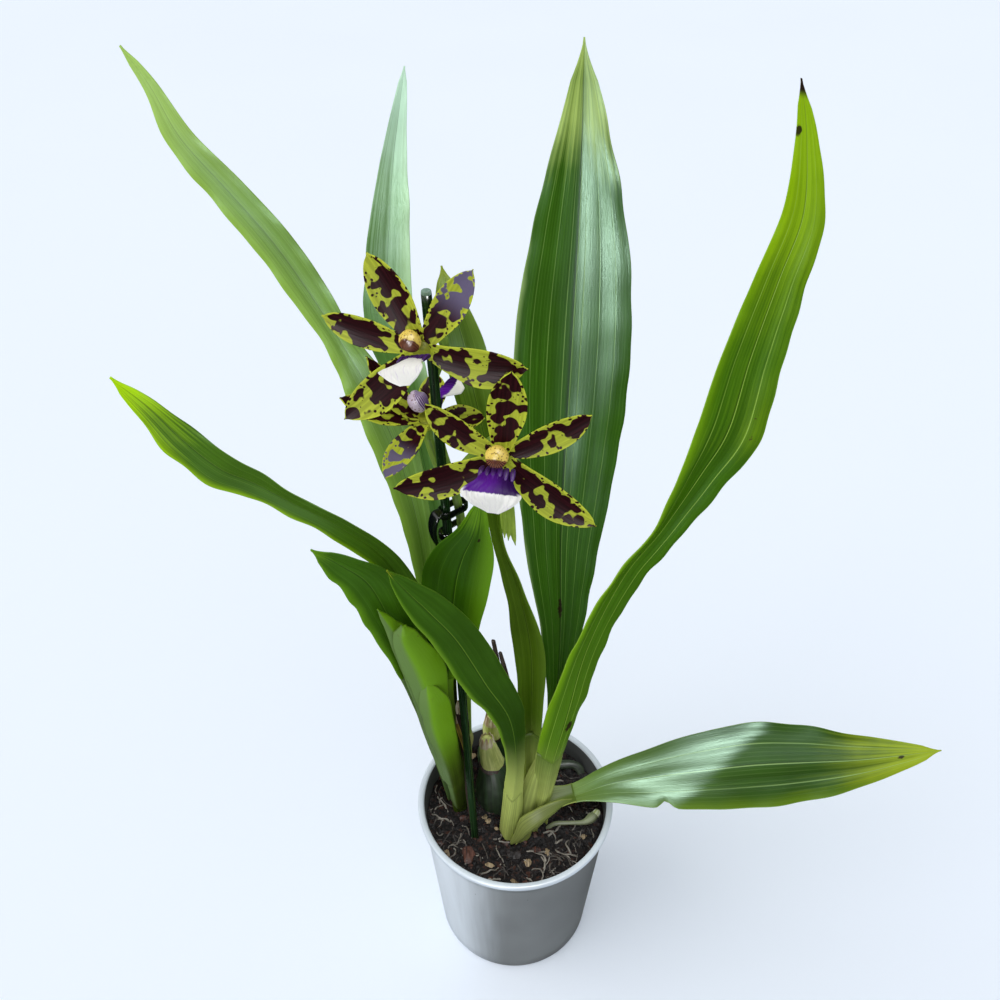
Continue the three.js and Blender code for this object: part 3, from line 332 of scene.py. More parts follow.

# How each leaf looks: its colour, the colour it ages to and from where along it, the colour painted on its
# lit margin, which margin that is (-1 or 1) and how far in it reaches, the colour of its foot, mostly darker
# as painted shade low among the leaves, and how far up that reaches, its veins, their colour and how plain
# the fine ones are, its plain gloss, the gloss where it is waxy, its roughness, how dark the painted shade in
# its midrib groove is, and the waxy patch: where that starts and stops along the leaf, how slantwise, and
# from where it fades in across. "bold" is how plain the strong veins are, "dry" where a dry tip starts,
# "scars" are marks (across, along, half width, half length as shares) and "collar" is the length over which
# the foot turns green.
LEAF_LOOKS = {
    "right_leaf_back": {
        "ground": "3a6806", "aged": "c4dc70", "from": 0.78, "edge": "b4d084", "side": -1, "reach": -0.03,
        "foot": "264605", "footing": 0.35, "veins": 7, "rib": "8cb054", "bold": 0.8, "fine": 0.14,
        "plain": 0.08, "gloss": 0.7, "rough": 0.42, "crease_shade": 0.8,
        "shine": ((0.42, 0.6), (0.93, 0.99), -0.3, 0.25, 0.6),
        "scars": ((0.475, 0.364, 0.045, 0.012),),
    },
    "right_leaf_centre": {
        "ground": "567416", "aged": "9aa83a", "from": 0.85, "edge": "6c8c2a", "side": 1, "reach": 0.3,
        "foot": "2e4a05", "footing": 0.3, "veins": 4, "rib": "7e9c38", "bold": 0.5, "fine": 0.15,
        "plain": 0.04, "gloss": 0.3, "rough": 0.36, "crease_shade": 0.6,
        "shine": ((0.6, 0.8), (0.95, 1.0), 0.0, 0.0, 0.3),
    },
    "right_leaf_left": {
        "ground": "3c640a", "aged": "d0c83a", "from": 0.97, "edge": "7aa428", "side": -1, "reach": 0.06,
        "foot": "182e02", "footing": 0.85, "veins": 2, "rib": "7aa030", "bold": 0.45, "fine": 0.05,
        "plain": 0.03, "gloss": 0.1, "rough": 0.36, "crease_shade": 0.8,
        "shine": ((0.0, 0.1), (0.95, 1.0), 0.0, 0.0, 0.3),
        "collar": (0.0, 45.0),
    },
    "right_leaf_tall": {
        "ground": "427002", "aged": "9cc408", "from": 0.6, "edge": "7fae14", "side": -1, "reach": 0.12,
        "foot": "587e14", "footing": 0.5, "veins": 4, "rib": "a8cc50", "bold": 0.9, "fine": 0.04,
        "plain": 0.03, "gloss": 0.08, "rough": 0.36, "crease_shade": 0.6, "dry": 0.972,
        "shine": ((0.1, 0.3), (0.95, 1.0), 0.0, 0.0, 0.3),
        "scars": ((0.12, 0.933, 0.16, 0.008), (0.7, 0.201, 0.12, 0.008)),
    },
    "right_leaf_low": {
        "ground": "325406", "aged": "9cae18", "from": 0.74, "edge": "6b8a1c", "side": 1, "reach": 0.1,
        "foot": "93b85a", "footing": 0.66, "veins": 4, "rib": "a0c070", "bold": 0.8, "fine": 0.12,
        "plain": 0.06, "gloss": 0.64, "rough": 0.42, "crease_shade": 0.4,
        "shine": ((0.22, 0.46), (0.54, 0.61), 0.19, -0.5, -0.3),
        "scars": ((0.55, 0.904, 0.05, 0.008),),
    },
    "left_leaf_tall": {
        "ground": "7ca238", "aged": "b8dc66", "from": 0.7, "edge": "a4cc4c", "side": -1, "reach": 0.35,
        "foot": "5c8416", "footing": 0.5, "veins": 5, "rib": "a4c468", "bold": 0.6, "fine": 0.25,
        "plain": 0.1, "gloss": 0.3, "rough": 0.4, "crease_shade": 0.5,
        "shine": ((0.2, 0.4), (0.9, 1.0), 0.0, 0.0, 0.3),
    },
    "left_leaf_low": {
        "ground": "4a7408", "aged": "c4f404", "from": 0.76, "edge": "a0cc20", "side": -1, "reach": 0.12,
        "foot": "74a02c", "footing": 0.5, "veins": 5, "rib": "8cb440", "bold": 0.5, "fine": 0.2,
        "plain": 0.04, "gloss": 0.18, "rough": 0.38, "crease_shade": 0.6,
        "shine": ((0.2, 0.4), (0.9, 1.0), 0.0, 0.0, 0.3),
    },
    "left_leaf_short": {
        "ground": "426e08", "aged": "6f9e1c", "from": 0.9, "edge": "6c9c1c", "side": -1, "reach": 0.15,
        "foot": "3c6006", "footing": 0.5, "veins": 4, "rib": "6a9430", "bold": 0.35, "fine": 0.06,
        "plain": 0.04, "gloss": 0.16, "rough": 0.36, "crease_shade": 0.5,
        "shine": ((0.3, 0.5), (0.9, 1.0), 0.0, 0.0, 0.3),
    },
    "left_leaf_upright": {
        "ground": "345c04", "aged": "6f9f14", "from": 0.88, "edge": "6c9c14", "side": 1, "reach": 0.35,
        "foot": "264204", "footing": 0.6, "veins": 4, "rib": "6c9828", "bold": 0.25, "fine": 0.05,
        "plain": 0.03, "gloss": 0.12, "rough": 0.36, "crease_shade": 0.5,
        "shine": ((0.5, 0.7), (0.95, 1.0), 0.0, 0.0, 0.3),
        "scars": ((0.7, 0.837, 0.035, 0.01),),
    },
    "left_leaf_back": {
        # painted highlight: this leaf's 'aged' colour is a near-white green that paints the shine of its
        # upper part
        "ground": "6c9848", "aged": "dcffe0", "from": 0.66, "edge": "b8dca0", "side": 1, "reach": 0.3,
        "foot": "5c8426", "footing": 0.5, "veins": 6, "rib": "6c9850", "bold": 0.4, "fine": 0.2,
        "plain": 0.2, "gloss": 0.7, "rough": 0.42, "crease_shade": 0.5,
        "shine": ((0.55, 0.85), (0.97, 1.0), 0.0, 0.0, 0.35),
    },
}

# How far from the axis the loose grains, the chips and the fibres lie at most.
GRAIN_REACH = 40.5
CHIP_REACH = 40
FIBRE_REACH = 39.5
CHIP_COUNT = 46
LARGE_CHIP_PLACE = (-21.5, -23.5, 80.6)
LARGE_CHIP_SIZE = 3.4

# Kinds of chip: the name, two colours and the width of the streaks.
CHIPS = (
    ("Reddish bark chip", "6b3a26", "2b140d", 0.833),
    ("Dark bark chip", "2c1c17", "100a09", 0.833),
    ("Pale wood splinter", "b9a27c", "6d5436", 0.667),
)

# ---------------------------------------------------------------- stage, in metres

FLOOR_REACH = 9.0
FLOOR_DROP = 5e-5
CAMERA_PLACE = (-0.0071, -0.2657, 0.4937)
CAMERA_PITCH = 40.1
CAMERA_SENSOR = 36
CAMERA_LENS = 36
CAMERA_REACH = 100

# The sky's strength at the horizon and overhead.
SKY_STRENGTH = (0.37, 1.15)
SKY_TINT = (0.93, 0.965, 1.0, 1)

# Each lamp's kind, place, aim, size (a sun's in degrees), power and colour.
LAMPS = {
    "key": ("SUN", (-0.85, -0.15, 0.6), (0, 0, 0), 60, 1.0, (1.0, 0.99, 0.97)),
    "window": ("AREA", (-0.5, -1.25, 0.56), (0.02, 0.04, 0.3), 0.55, 46, (0.96, 0.98, 1.0)),
    "skylight": ("AREA", (0.18, -0.5, 1.32), (0.1, 0, 0.1), 0.55, 40, (0.97, 0.99, 1.0)),
}

# ---------------------------------------------------------------- settings


def hex_colour(code):
    """An sRGB hex colour as linear red, green, blue and alpha."""
    values = [int(code[i : i + 2], 16) / 255 for i in (0, 2, 4)]
    linear = [v / 12.92 if v <= 0.04045 else ((v + 0.055) / 1.055) ** 2.4 for v in values]
    return (*linear, 1.0)


def colour(name, description, code):
    """A colour setting."""
    return FloatVectorProperty(
        name=name, description=description, default=hex_colour(code), size=4, min=0, max=1,
        subtype="COLOR",
    )


class OrchidColours(bpy.types.PropertyGroup):
    """Colours of the orchid's surfaces."""

    bract: colour("Bract", "Short leaves wrapped round the left shoot", "6f9e10")
    sheath: colour("Sheath", "Leaf bases wrapped round the right shoot", "acb860")
    young: colour("Young sheath", "Leaf bases of the left shoot", "42560d")
    spike: colour("Spike", "Flower stem and pedicels", "7fa032")
    tepal: colour("Tepal ground", "Yellow-green ground of the tepals", "b0b834")
    blotch: colour("Tepal blotches", "Maroon blotches of the tepals", "2e090f")
    lip_violet: colour("Lip violet", "Middle of the lip", "5a1590")
    lip_white: colour("Lip white", "Rolled margin of the lip", "ece8e0")
    column: colour("Anther cap", "Yellow end of the column", "f0cf5a")
    pot: colour("Pot", "Grey plastic of the pot", "888b8b")
    # painted highlight: the pot's window side, painted paler for the light it catches
    painted_lit_side: colour("Painted lit side of pot", "Painted highlight on the pot's window side", "f0f8ff")
    rim: colour("Pot rim", "Paler lip of the pot", "dbe4ec")
    soil: colour("Potting mix", "Coir and fine bark", "180c09")
    cane: colour("Cane", "Coated flower cane", "12300f")
    clip: colour("Clip", "Plastic orchid clip", "080c0d")
    bulb: colour("Bulb", "Old pseudobulbs", "35502c")
    husk: colour("Husk", "Dried sheaths and stalks", "4d3322")
    root: colour("Root", "Aerial roots", "96a070")
    floor: colour("Floor", "Plain studio floor", "eef4fd")


class OrchidSizes(bpy.types.PropertyGroup):
    """Sizes and counts of the orchid's finer forms."""

    edge_wave: FloatProperty(
        name="Edge wave", description="Height of the waves along a leaf's margin", default=0.0005,
        min=0, max=0.002, subtype="DISTANCE", unit="LENGTH",
    )
    tepal_curl: FloatProperty(
        name="Tepal curl", description="How far a tepal's margins curl forward", default=0.0009,
        min=0, max=0.003, subtype="DISTANCE", unit="LENGTH",
    )
    blotch_size: FloatProperty(
        name="Blotch size", description="Size of a tepal's blotches", default=0.0036,
        min=0.002, max=0.01, subtype="DISTANCE", unit="LENGTH",
    )
    grains: IntProperty(
        name="Grains", description="Loose grains on the potting mix", default=1900, min=0, max=2500,
    )
    fibres: IntProperty(
        name="Fibres", description="Curled root fibres on the potting mix", default=130, min=0, max=400,
    )


# ---------------------------------------------------------------- forms


def rows_at(rows, ts):
    """Rows of numbers read off a smooth curve through all rows, at each t from 0 to len(rows) - 1."""
    rows = np.array(rows, float)
    padded = np.vstack([2 * rows[0] - rows[1], rows, 2 * rows[-1] - rows[-2]])
    ts = np.clip(np.asarray(ts, float), 0, len(rows) - 1)
    i = np.minimum(ts.astype(int), len(rows) - 2)
    k = (ts - i)[:, None]
    a, b, c, d = (padded[i + j] for j in range(4))
    return b + 0.5 * k * (c - a + k * (2 * a - 5 * b + 4 * c - d + k * (-a + 3 * b - 3 * c + d)))


def unit(vectors):
    """Vectors at length 1."""
    vectors = np.asarray(vectors, float)
    return vectors / np.maximum(np.linalg.norm(vectors, axis=-1, keepdims=True), 1e-9)


def wobble(points, size, seed):
    """Smooth noise of about -1 to 1 at points in mm, its features about `size` mm apart."""
    rng = np.random.default_rng(seed)
    points = np.asarray(points, float)
    total = np.zeros(points.shape[:-1])
    for _ in range(7):
        way = unit(rng.normal(size=points.shape[-1])) * 2 * math.pi / (size * rng.uniform(0.7, 1.6))
        total += np.sin(points @ way + rng.uniform(0, 2 * math.pi))
    return total / 2.6


def on_circle(radius, angle):
    """A point of a circle round the pot's axis."""
    return radius * math.cos(angle), radius * math.sin(angle)


def faced(heading):
    """The level direction that a blade faces whose width runs along the heading."""
    turn = math.radians(heading)
    return np.array([math.sin(turn), -math.cos(turn), 0])


def pleated(folds, depth):
    """How far pleats lift a blade, at each place across it from -1 to 1."""
    return lambda u: depth * (0.5 - 0.5 * np.cos(folds * math.pi * (u + 1)))


def faces_between(n, k, looped=False):
    """Ring, place on it and corners of each face between n rings of k points."""
    i, j = (g.ravel() for g in np.meshgrid(np.arange(n if looped else n - 1), np.arange(k), indexing="ij"))
    ahead, after = (i + 1) % n, (j + 1) % k
    return i, j, np.stack([i * k + j, i * k + after, ahead * k + after, ahead * k + j], 1)


class Shape:
    """Gathers closed bodies, in mm, with a map of their form and a map in mm."""

    def __init__(self):
        self.points = []
        self.faces = []
        self.form = []
        self.scale = []
        self.slots = []
        self.count = 0

    def rings(self, rings, form, scale, slot=0, back=None):
        """A body of n rings of k points. The maps have k + 1 columns, as the last closes the ring.

        The second half of each ring takes the slot `back`, where that is given.
        """
        n, k = rings.shape[:2]
        i, j, quads = faces_between(n, k)
        corners = [(i, j), (i, j + 1), (i + 1, j + 1), (i + 1, j)]
        form_uv = np.stack([form[a, b] for a, b in corners], 1)
        scale_uv = np.stack([scale[a, b] for a, b in corners], 1)
        slots = np.full(len(quads), slot)
        if back is not None:
            slots[(j >= k // 2) & (j < k - 1)] = back
        strip = np.arange(k // 2 - 1)
        cap = np.stack([strip, k - 1 - strip, k - 2 - strip, strip + 1], 1)
        ends = [cap, cap[:, ::-1] + (n - 1) * k]
        for end, row in zip(ends, (0, n - 1)):
            quads = np.vstack([quads, end])
            column = end - row * k
            form_uv = np.concatenate([form_uv, form[row][column]])
            scale_uv = np.concatenate([scale_uv, scale[row][column]])
            slots = np.concatenate([slots, np.full(len(end), slot)])
        flat = rings.reshape(-1, 3)
        if signed_volume(flat, quads) < 0:
            quads, form_uv, scale_uv = quads[:, ::-1], form_uv[:, ::-1], scale_uv[:, ::-1]
        self.body(flat, quads, form_uv, scale_uv, slots)

    def body(self, points, faces, form_uv, scale_uv, slots):
        """A body from its points and its faces of equal length, with a map value at each corner."""
        self.points.append(points)
        self.faces.extend((faces + self.count).tolist())
        self.form.append(form_uv.reshape(-1, 2))
        self.scale.append(scale_uv.reshape(-1, 2))
        self.slots.append(np.broadcast_to(slots, len(faces)))
        self.count += len(points)

    def finish(self, name, materials, replaces=(), smooth=True):
        """The object: it rides on the root body and stands for the CAD nodes it replaces."""
        mesh = bpy.data.meshes.new(name)
        mesh.from_pydata((np.vstack(self.points) * MM).tolist(), [], self.faces)
        for label, values in (("form", self.form), ("scale", self.scale)):
            layer = mesh.uv_layers.new(name=label)
            layer.data.foreach_set("uv", np.vstack(values).astype(np.float32).ravel())
        for material in materials:
            mesh.materials.append(material)
        mesh.polygons.foreach_set("material_index", np.concatenate(self.slots).astype(np.int32))
        mesh.polygons.foreach_set("use_smooth", np.full(len(mesh.polygons), smooth))
        mesh.update()
        piece = bpy.data.objects.new(name, mesh)
        bpy.context.scene.collection.objects.link(piece)
        return settle(piece, replaces)


def settle(piece, replaces):
    """Hangs a finished piece on the root body and hides the CAD parts it replaces."""
    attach(piece, "root")
    if replaces:
        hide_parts(*replaces)
    return piece


def signed_volume(points, quads):
    """Six times the volume inside the quads, negative where they face inward."""
    a, b, c, d = (points[quads[:, i]] for i in range(4))
    halves = np.cross(b - a, c - a) * (a + b + c), np.cross(c - a, d - a) * (a + c + d)
    return float(np.sum(halves[0]) + np.sum(halves[1]))


def blade(
    shape, rows, start=0.0, end=None, rings=80, columns=25, thickness=LEAF_THICKNESS, root=None,
    pleat=None, wave=0.0, curl=0.0, crease=0.05, margin=0.3, seed=1, slots=(0, 0), closing=True,
    offset=0.0, bite=None,
):
    """A leaf, bract or tepal: a thin blade with a soft midrib fold, pleats, wavy or curled margins.

    crease rounds the midrib, margin is the share of the thickness left at the margins, closing narrows
    the last rings to a point, and offset is the length in mm at the last ring, or at the first if 0. bite,
    where given, nicks the right margin at its first value, as wide and as deep as the other two.
    """
    last = len(rows) - 1
    end = last if end is None else end
    share = np.linspace(0, 1, rings)
    share = share + 0.16 * np.sin(np.pi * share) * share if closing else share
    ts = start + (end - start) * share / share[-1]
    data = rows_at(rows, ts)
    step = 0.02
    along = rows_at(rows, np.minimum(ts + step, last))[:, :3] - rows_at(rows, np.maximum(ts - step, 0))[:, :3]
    heading, rise, fold = (np.radians(data[:, c]) for c in (4, 5, 6))
    across = np.stack(
        [np.cos(rise) * np.cos(heading), np.cos(rise) * np.sin(heading), np.sin(rise)], 1
    )
    facing = unit(np.cross(across, unit(along)))
    width = np.maximum(data[:, 3], 0.5)
    if closing:
        width = width * np.clip((1 - ts / last) * last * 2.2, 0.16, 1) ** 0.5
    u = np.sin(np.linspace(-1, 1, columns) * math.pi / 2)
    depth = (width * np.tan(fold))[:, None]
    height = -depth * (1 - np.sqrt(u * u + crease * crease))
    if pleat is not None:
        height = height + pleat(u)[None, :] * np.minimum(1, width / 12)[:, None]
    length = np.concatenate([[0], np.cumsum(np.linalg.norm(np.diff(data[:, :3], axis=0), axis=1))])
    edges = length
    if offset:
        length = length - length[-1] + offset
    edge = np.stack(
        [wobble(np.stack([edges, edges * 0 + 40 * side], 1), 17, seed) for side in (-1, 1)]
    )
    sway = np.where(u[None, :] < 0, edge[0][:, None], edge[1][:, None]) * np.abs(u)[None, :] ** 3
    fade = np.minimum(1, width / 6)[:, None]
    height = height + wave * sway * fade + curl * np.abs(u)[None, :] ** 4 * fade
    spread = u[None, :] * (width[:, None] + 0.35 * wave * sway * fade)
    if bite is not None:
        nick = bite[2] * np.exp(-(((ts - bite[0]) / bite[1]) ** 2))
        spread = spread * np.where(u[None, :] > 0, 1 - nick[:, None] * np.abs(u)[None, :] ** 3, 1)
    thick = np.linspace(root if root else thickness, thickness, rings)[:, None] / 2
    thick = thick * (margin + (1 - margin) * np.sqrt(np.clip(1 - np.abs(u) ** 4, 0, 1)))[None, :]
    spine = data[:, None, :3] + across[:, None, :] * spread[..., None]
    front = spine + facing[:, None, :] * (height + thick)[..., None]
    rear = spine + facing[:, None, :] * (height - thick)[..., None]
    ring = np.concatenate([front, rear[:, ::-1]], 1)
    order = np.concatenate([np.arange(columns), np.arange(columns)[::-1], [0]])
    share = np.broadcast_to((u / 2 + 0.5)[order], (rings, len(order)))
    form = np.stack([share, np.repeat((ts / last)[:, None], len(order), 1)], -1)
    scale = np.stack([spread[:, order], np.repeat(length[:, None], len(order), 1)], -1)
    shape.rings(ring, form, scale, slots[0], slots[1])


def stem(
    shape, rows, steps=8, sides=16, slot=0, bulge=None, closing=True, measure=None, offset=0.0,
):
    """A round stem, root or bulb. bulge(angle, t) gives each point's share of the radius.

    measure(points), where given, makes the map in mm, and offset starts its length elsewhere than at 0.
    """
    last = len(rows) - 1
    count = int(last * steps) + 1
    ts = np.linspace(0, last, count)
    data = rows_at(rows, ts)
    data[:, 3] = np.maximum(data[:, 3], 0.05)
    along = unit(
        rows_at(rows, np.minimum(ts + 0.02, last))[:, :3] - rows_at(rows, np.maximum(ts - 0.02, 0))[:, :3]
    )
    centres, radii = data[:, :3], data[:, 3]
    if closing:
        dome = np.radians([80, 60, 40, 20])
        rise = along[-1] * radii[-1] * 0.5
        centres = np.vstack([centres] + [centres[-1] + rise * math.sin(math.pi / 2 - a) for a in dome])
        along = np.vstack([along] + [along[-1]] * 4)
        radii = np.concatenate([radii, [radii[-1] * math.sin(a) for a in dome]])
        ts = np.concatenate([ts, [last] * 4])
    side = np.zeros_like(along)
    hint = np.array([1, 0.1, 0.05])
    for i, way in enumerate(along):
        hint = unit(hint - way * (hint @ way))
        side[i] = hint
    other = np.cross(along, side)
    angle = np.linspace(0, 2 * math.pi, sides, endpoint=False)
    radius = np.repeat(radii[:, None], sides, 1)
    if bulge is not None:
        radius = radius * bulge(angle[None, :], ts[:, None])
    ring = (
        centres[:, None, :]
        + side[:, None, :] * (np.cos(angle)[None, :] * radius)[..., None]
        + other[:, None, :] * (np.sin(angle)[None, :] * radius)[..., None]
    )
    length = offset + np.concatenate([[0], np.cumsum(np.linalg.norm(np.diff(centres, axis=0), axis=1))])
    turn = np.linspace(0, 1, sides + 1)
    form = np.stack(
        [np.broadcast_to(turn, (len(ts), sides + 1)), np.repeat((ts / last)[:, None], sides + 1, 1)], -1
    )
    girth = 2 * math.pi * float(radii.max())
    scale = np.stack([form[..., 0] * girth, np.repeat(length[:, None], sides + 1, 1)], -1)
    if measure is not None:
        scale = measure(ring[:, np.append(np.arange(sides), 0)])
    shape.rings(ring, form, scale, slot)


def lathe(shape, profile, sides, slots):
    """A turned body on the vertical axis from a closed profile of (radius, height) in mm."""
    profile = np.array(profile, float)
    angle = np.linspace(0, 2 * math.pi, sides, endpoint=False)
    points = np.stack(
        [
            profile[:, None, 0] * np.cos(angle)[None, :],
            profile[:, None, 0] * np.sin(angle)[None, :],
            np.repeat(profile[:, 1][:, None], sides, 1),
        ],
        -1,
    )
    n = len(profile)
    i, j = np.meshgrid(np.arange(n - 1), np.arange(sides), indexing="ij")
    i, j = i.ravel(), j.ravel()
    after = (j + 1) % sides
    quads = np.stack([i * sides + j, i * sides + after, (i + 1) * sides + after, (i + 1) * sides + j], 1)
    length = np.concatenate([[0], np.cumsum(np.linalg.norm(np.diff(profile, axis=0), axis=1))])
    corners = [(i, j), (i, j + 1), (i + 1, j + 1), (i + 1, j)]
    form = np.stack([np.stack([b / sides, length[a] / length[-1]], -1) for a, b in corners], 1)
    girth = 2 * math.pi * profile[:, 0].max()
    scale = np.stack([np.stack([b / sides * girth, length[a]], -1) for a, b in corners], 1)
    flat = points.reshape(-1, 3)
    if signed_volume(flat, quads) < 0:
        quads, form, scale = quads[:, ::-1], form[:, ::-1], scale[:, ::-1]
    shape.body(flat, quads, form, scale, np.asarray(slots)[i])


# ---------------------------------------------------------------- materials


# Kinds of node: the type, the inputs that values fill in order, the settings, the output that is taken.
RANGE = ("ShaderNodeMapRange", range(5), {"interpolation_type": "SMOOTHSTEP"}, 0)
EVEN_RANGE = ("ShaderNodeMapRange", (0, 3, 4), {}, 0)
MIX = ("ShaderNodeMix", (0, 6, 7), {"data_type": "RGBA"}, 2)
ADD, SUBTRACT, MULTIPLY, MAXIMUM, FRACT, ABSOLUTE = (
    ("ShaderNodeMath", range(2), {"operation": name}, 0)
    for name in ("ADD", "SUBTRACT", "MULTIPLY", "MAXIMUM", "FRACT", "ABSOLUTE")
)
NOISE = ("ShaderNodeTexNoise", ("Vector", "Scale", "Detail", "Roughness"), {}, 0)
CELLS = ("ShaderNodeTexVoronoi", ("Vector", "Scale", "Smoothness"), {}, 0)
WAVES = ("ShaderNodeTexWave", ("Vector", "Scale", "Distortion", "Detail"), {}, 0)
VECTOR = ("ShaderNodeVectorMath", range(2), {}, 0)
STRETCH = ("ShaderNodeMapping", (0, "Scale"), {}, 0)
SPLIT = ("ShaderNodeSeparateXYZ", range(1), {}, 0)
JOIN = ("ShaderNodeCombineXYZ", range(2), {}, 0)
BUMP = ("ShaderNodeBump", ("Strength", "Distance", "Height"), {}, 0)
FORM, SCALE = (("ShaderNodeUVMap", (), {"uv_map": name}, 0) for name in ("form", "scale"))
SPOT = ("ShaderNodeTexCoord", (), {}, 3)
SKY_WAY = ("ShaderNodeTexCoord", (), {}, 0)


def add_node(tree, kind, *values, out=None, **settings):
    """Adds a node of a kind, sets or links its inputs, and gives back one of its outputs."""
    label, ports, fixed, taken = kind
    node = tree.nodes.new(label)
    for key, value in {**fixed, **settings}.items():
        setattr(node, key, value)
    plug(node, dict(zip(ports, values)))
    return node.outputs[taken if out is None else out]


def plug(node, inputs):
    """Links sockets to a node's inputs, and sets the other values on them."""
    for key, value in inputs.items():
        if isinstance(value, bpy.types.NodeSocket):
            node.id_data.links.new(value, node.inputs[key])
        else:
            node.inputs[key].default_value = value


def begin(name):
    """A new material, the function that adds nodes to it, and its Principled shader."""
    material = bpy.data.materials.new(name)
    material.use_nodes = True
    tree = material.node_tree
    return material, partial(add_node, tree), tree.nodes["Principled BSDF"]


def shaded(code, factor):
    """A colour made darker or lighter."""
    return (*[min(1.0, c * factor) for c in code[:3]], 1.0)


def every(mm):
    """The scale of a pattern in metres whose features are this many mm apart."""
    return 1 / (mm * MM)


def drawn(wide, long):
    """The scale of a pattern in mm whose features are this wide and this long."""
    return 1 / wide, 1 / long, 1


# A leaf base turns green over this length past its collar, in mm.
COLLAR_FADE = (-30.0, 14.0)

# Sizes of the leaves' markings, in mm.
LEAF_STREAK = 100
LEAF_CLOUD = 33.3
LEAF_FLECK = 1.429
LEAF_PEBBLE = 4
SHEATH_STREAK = 71.4
SHEATH_CLOUD = 16.67
SHEATH_FLECK = 1.667


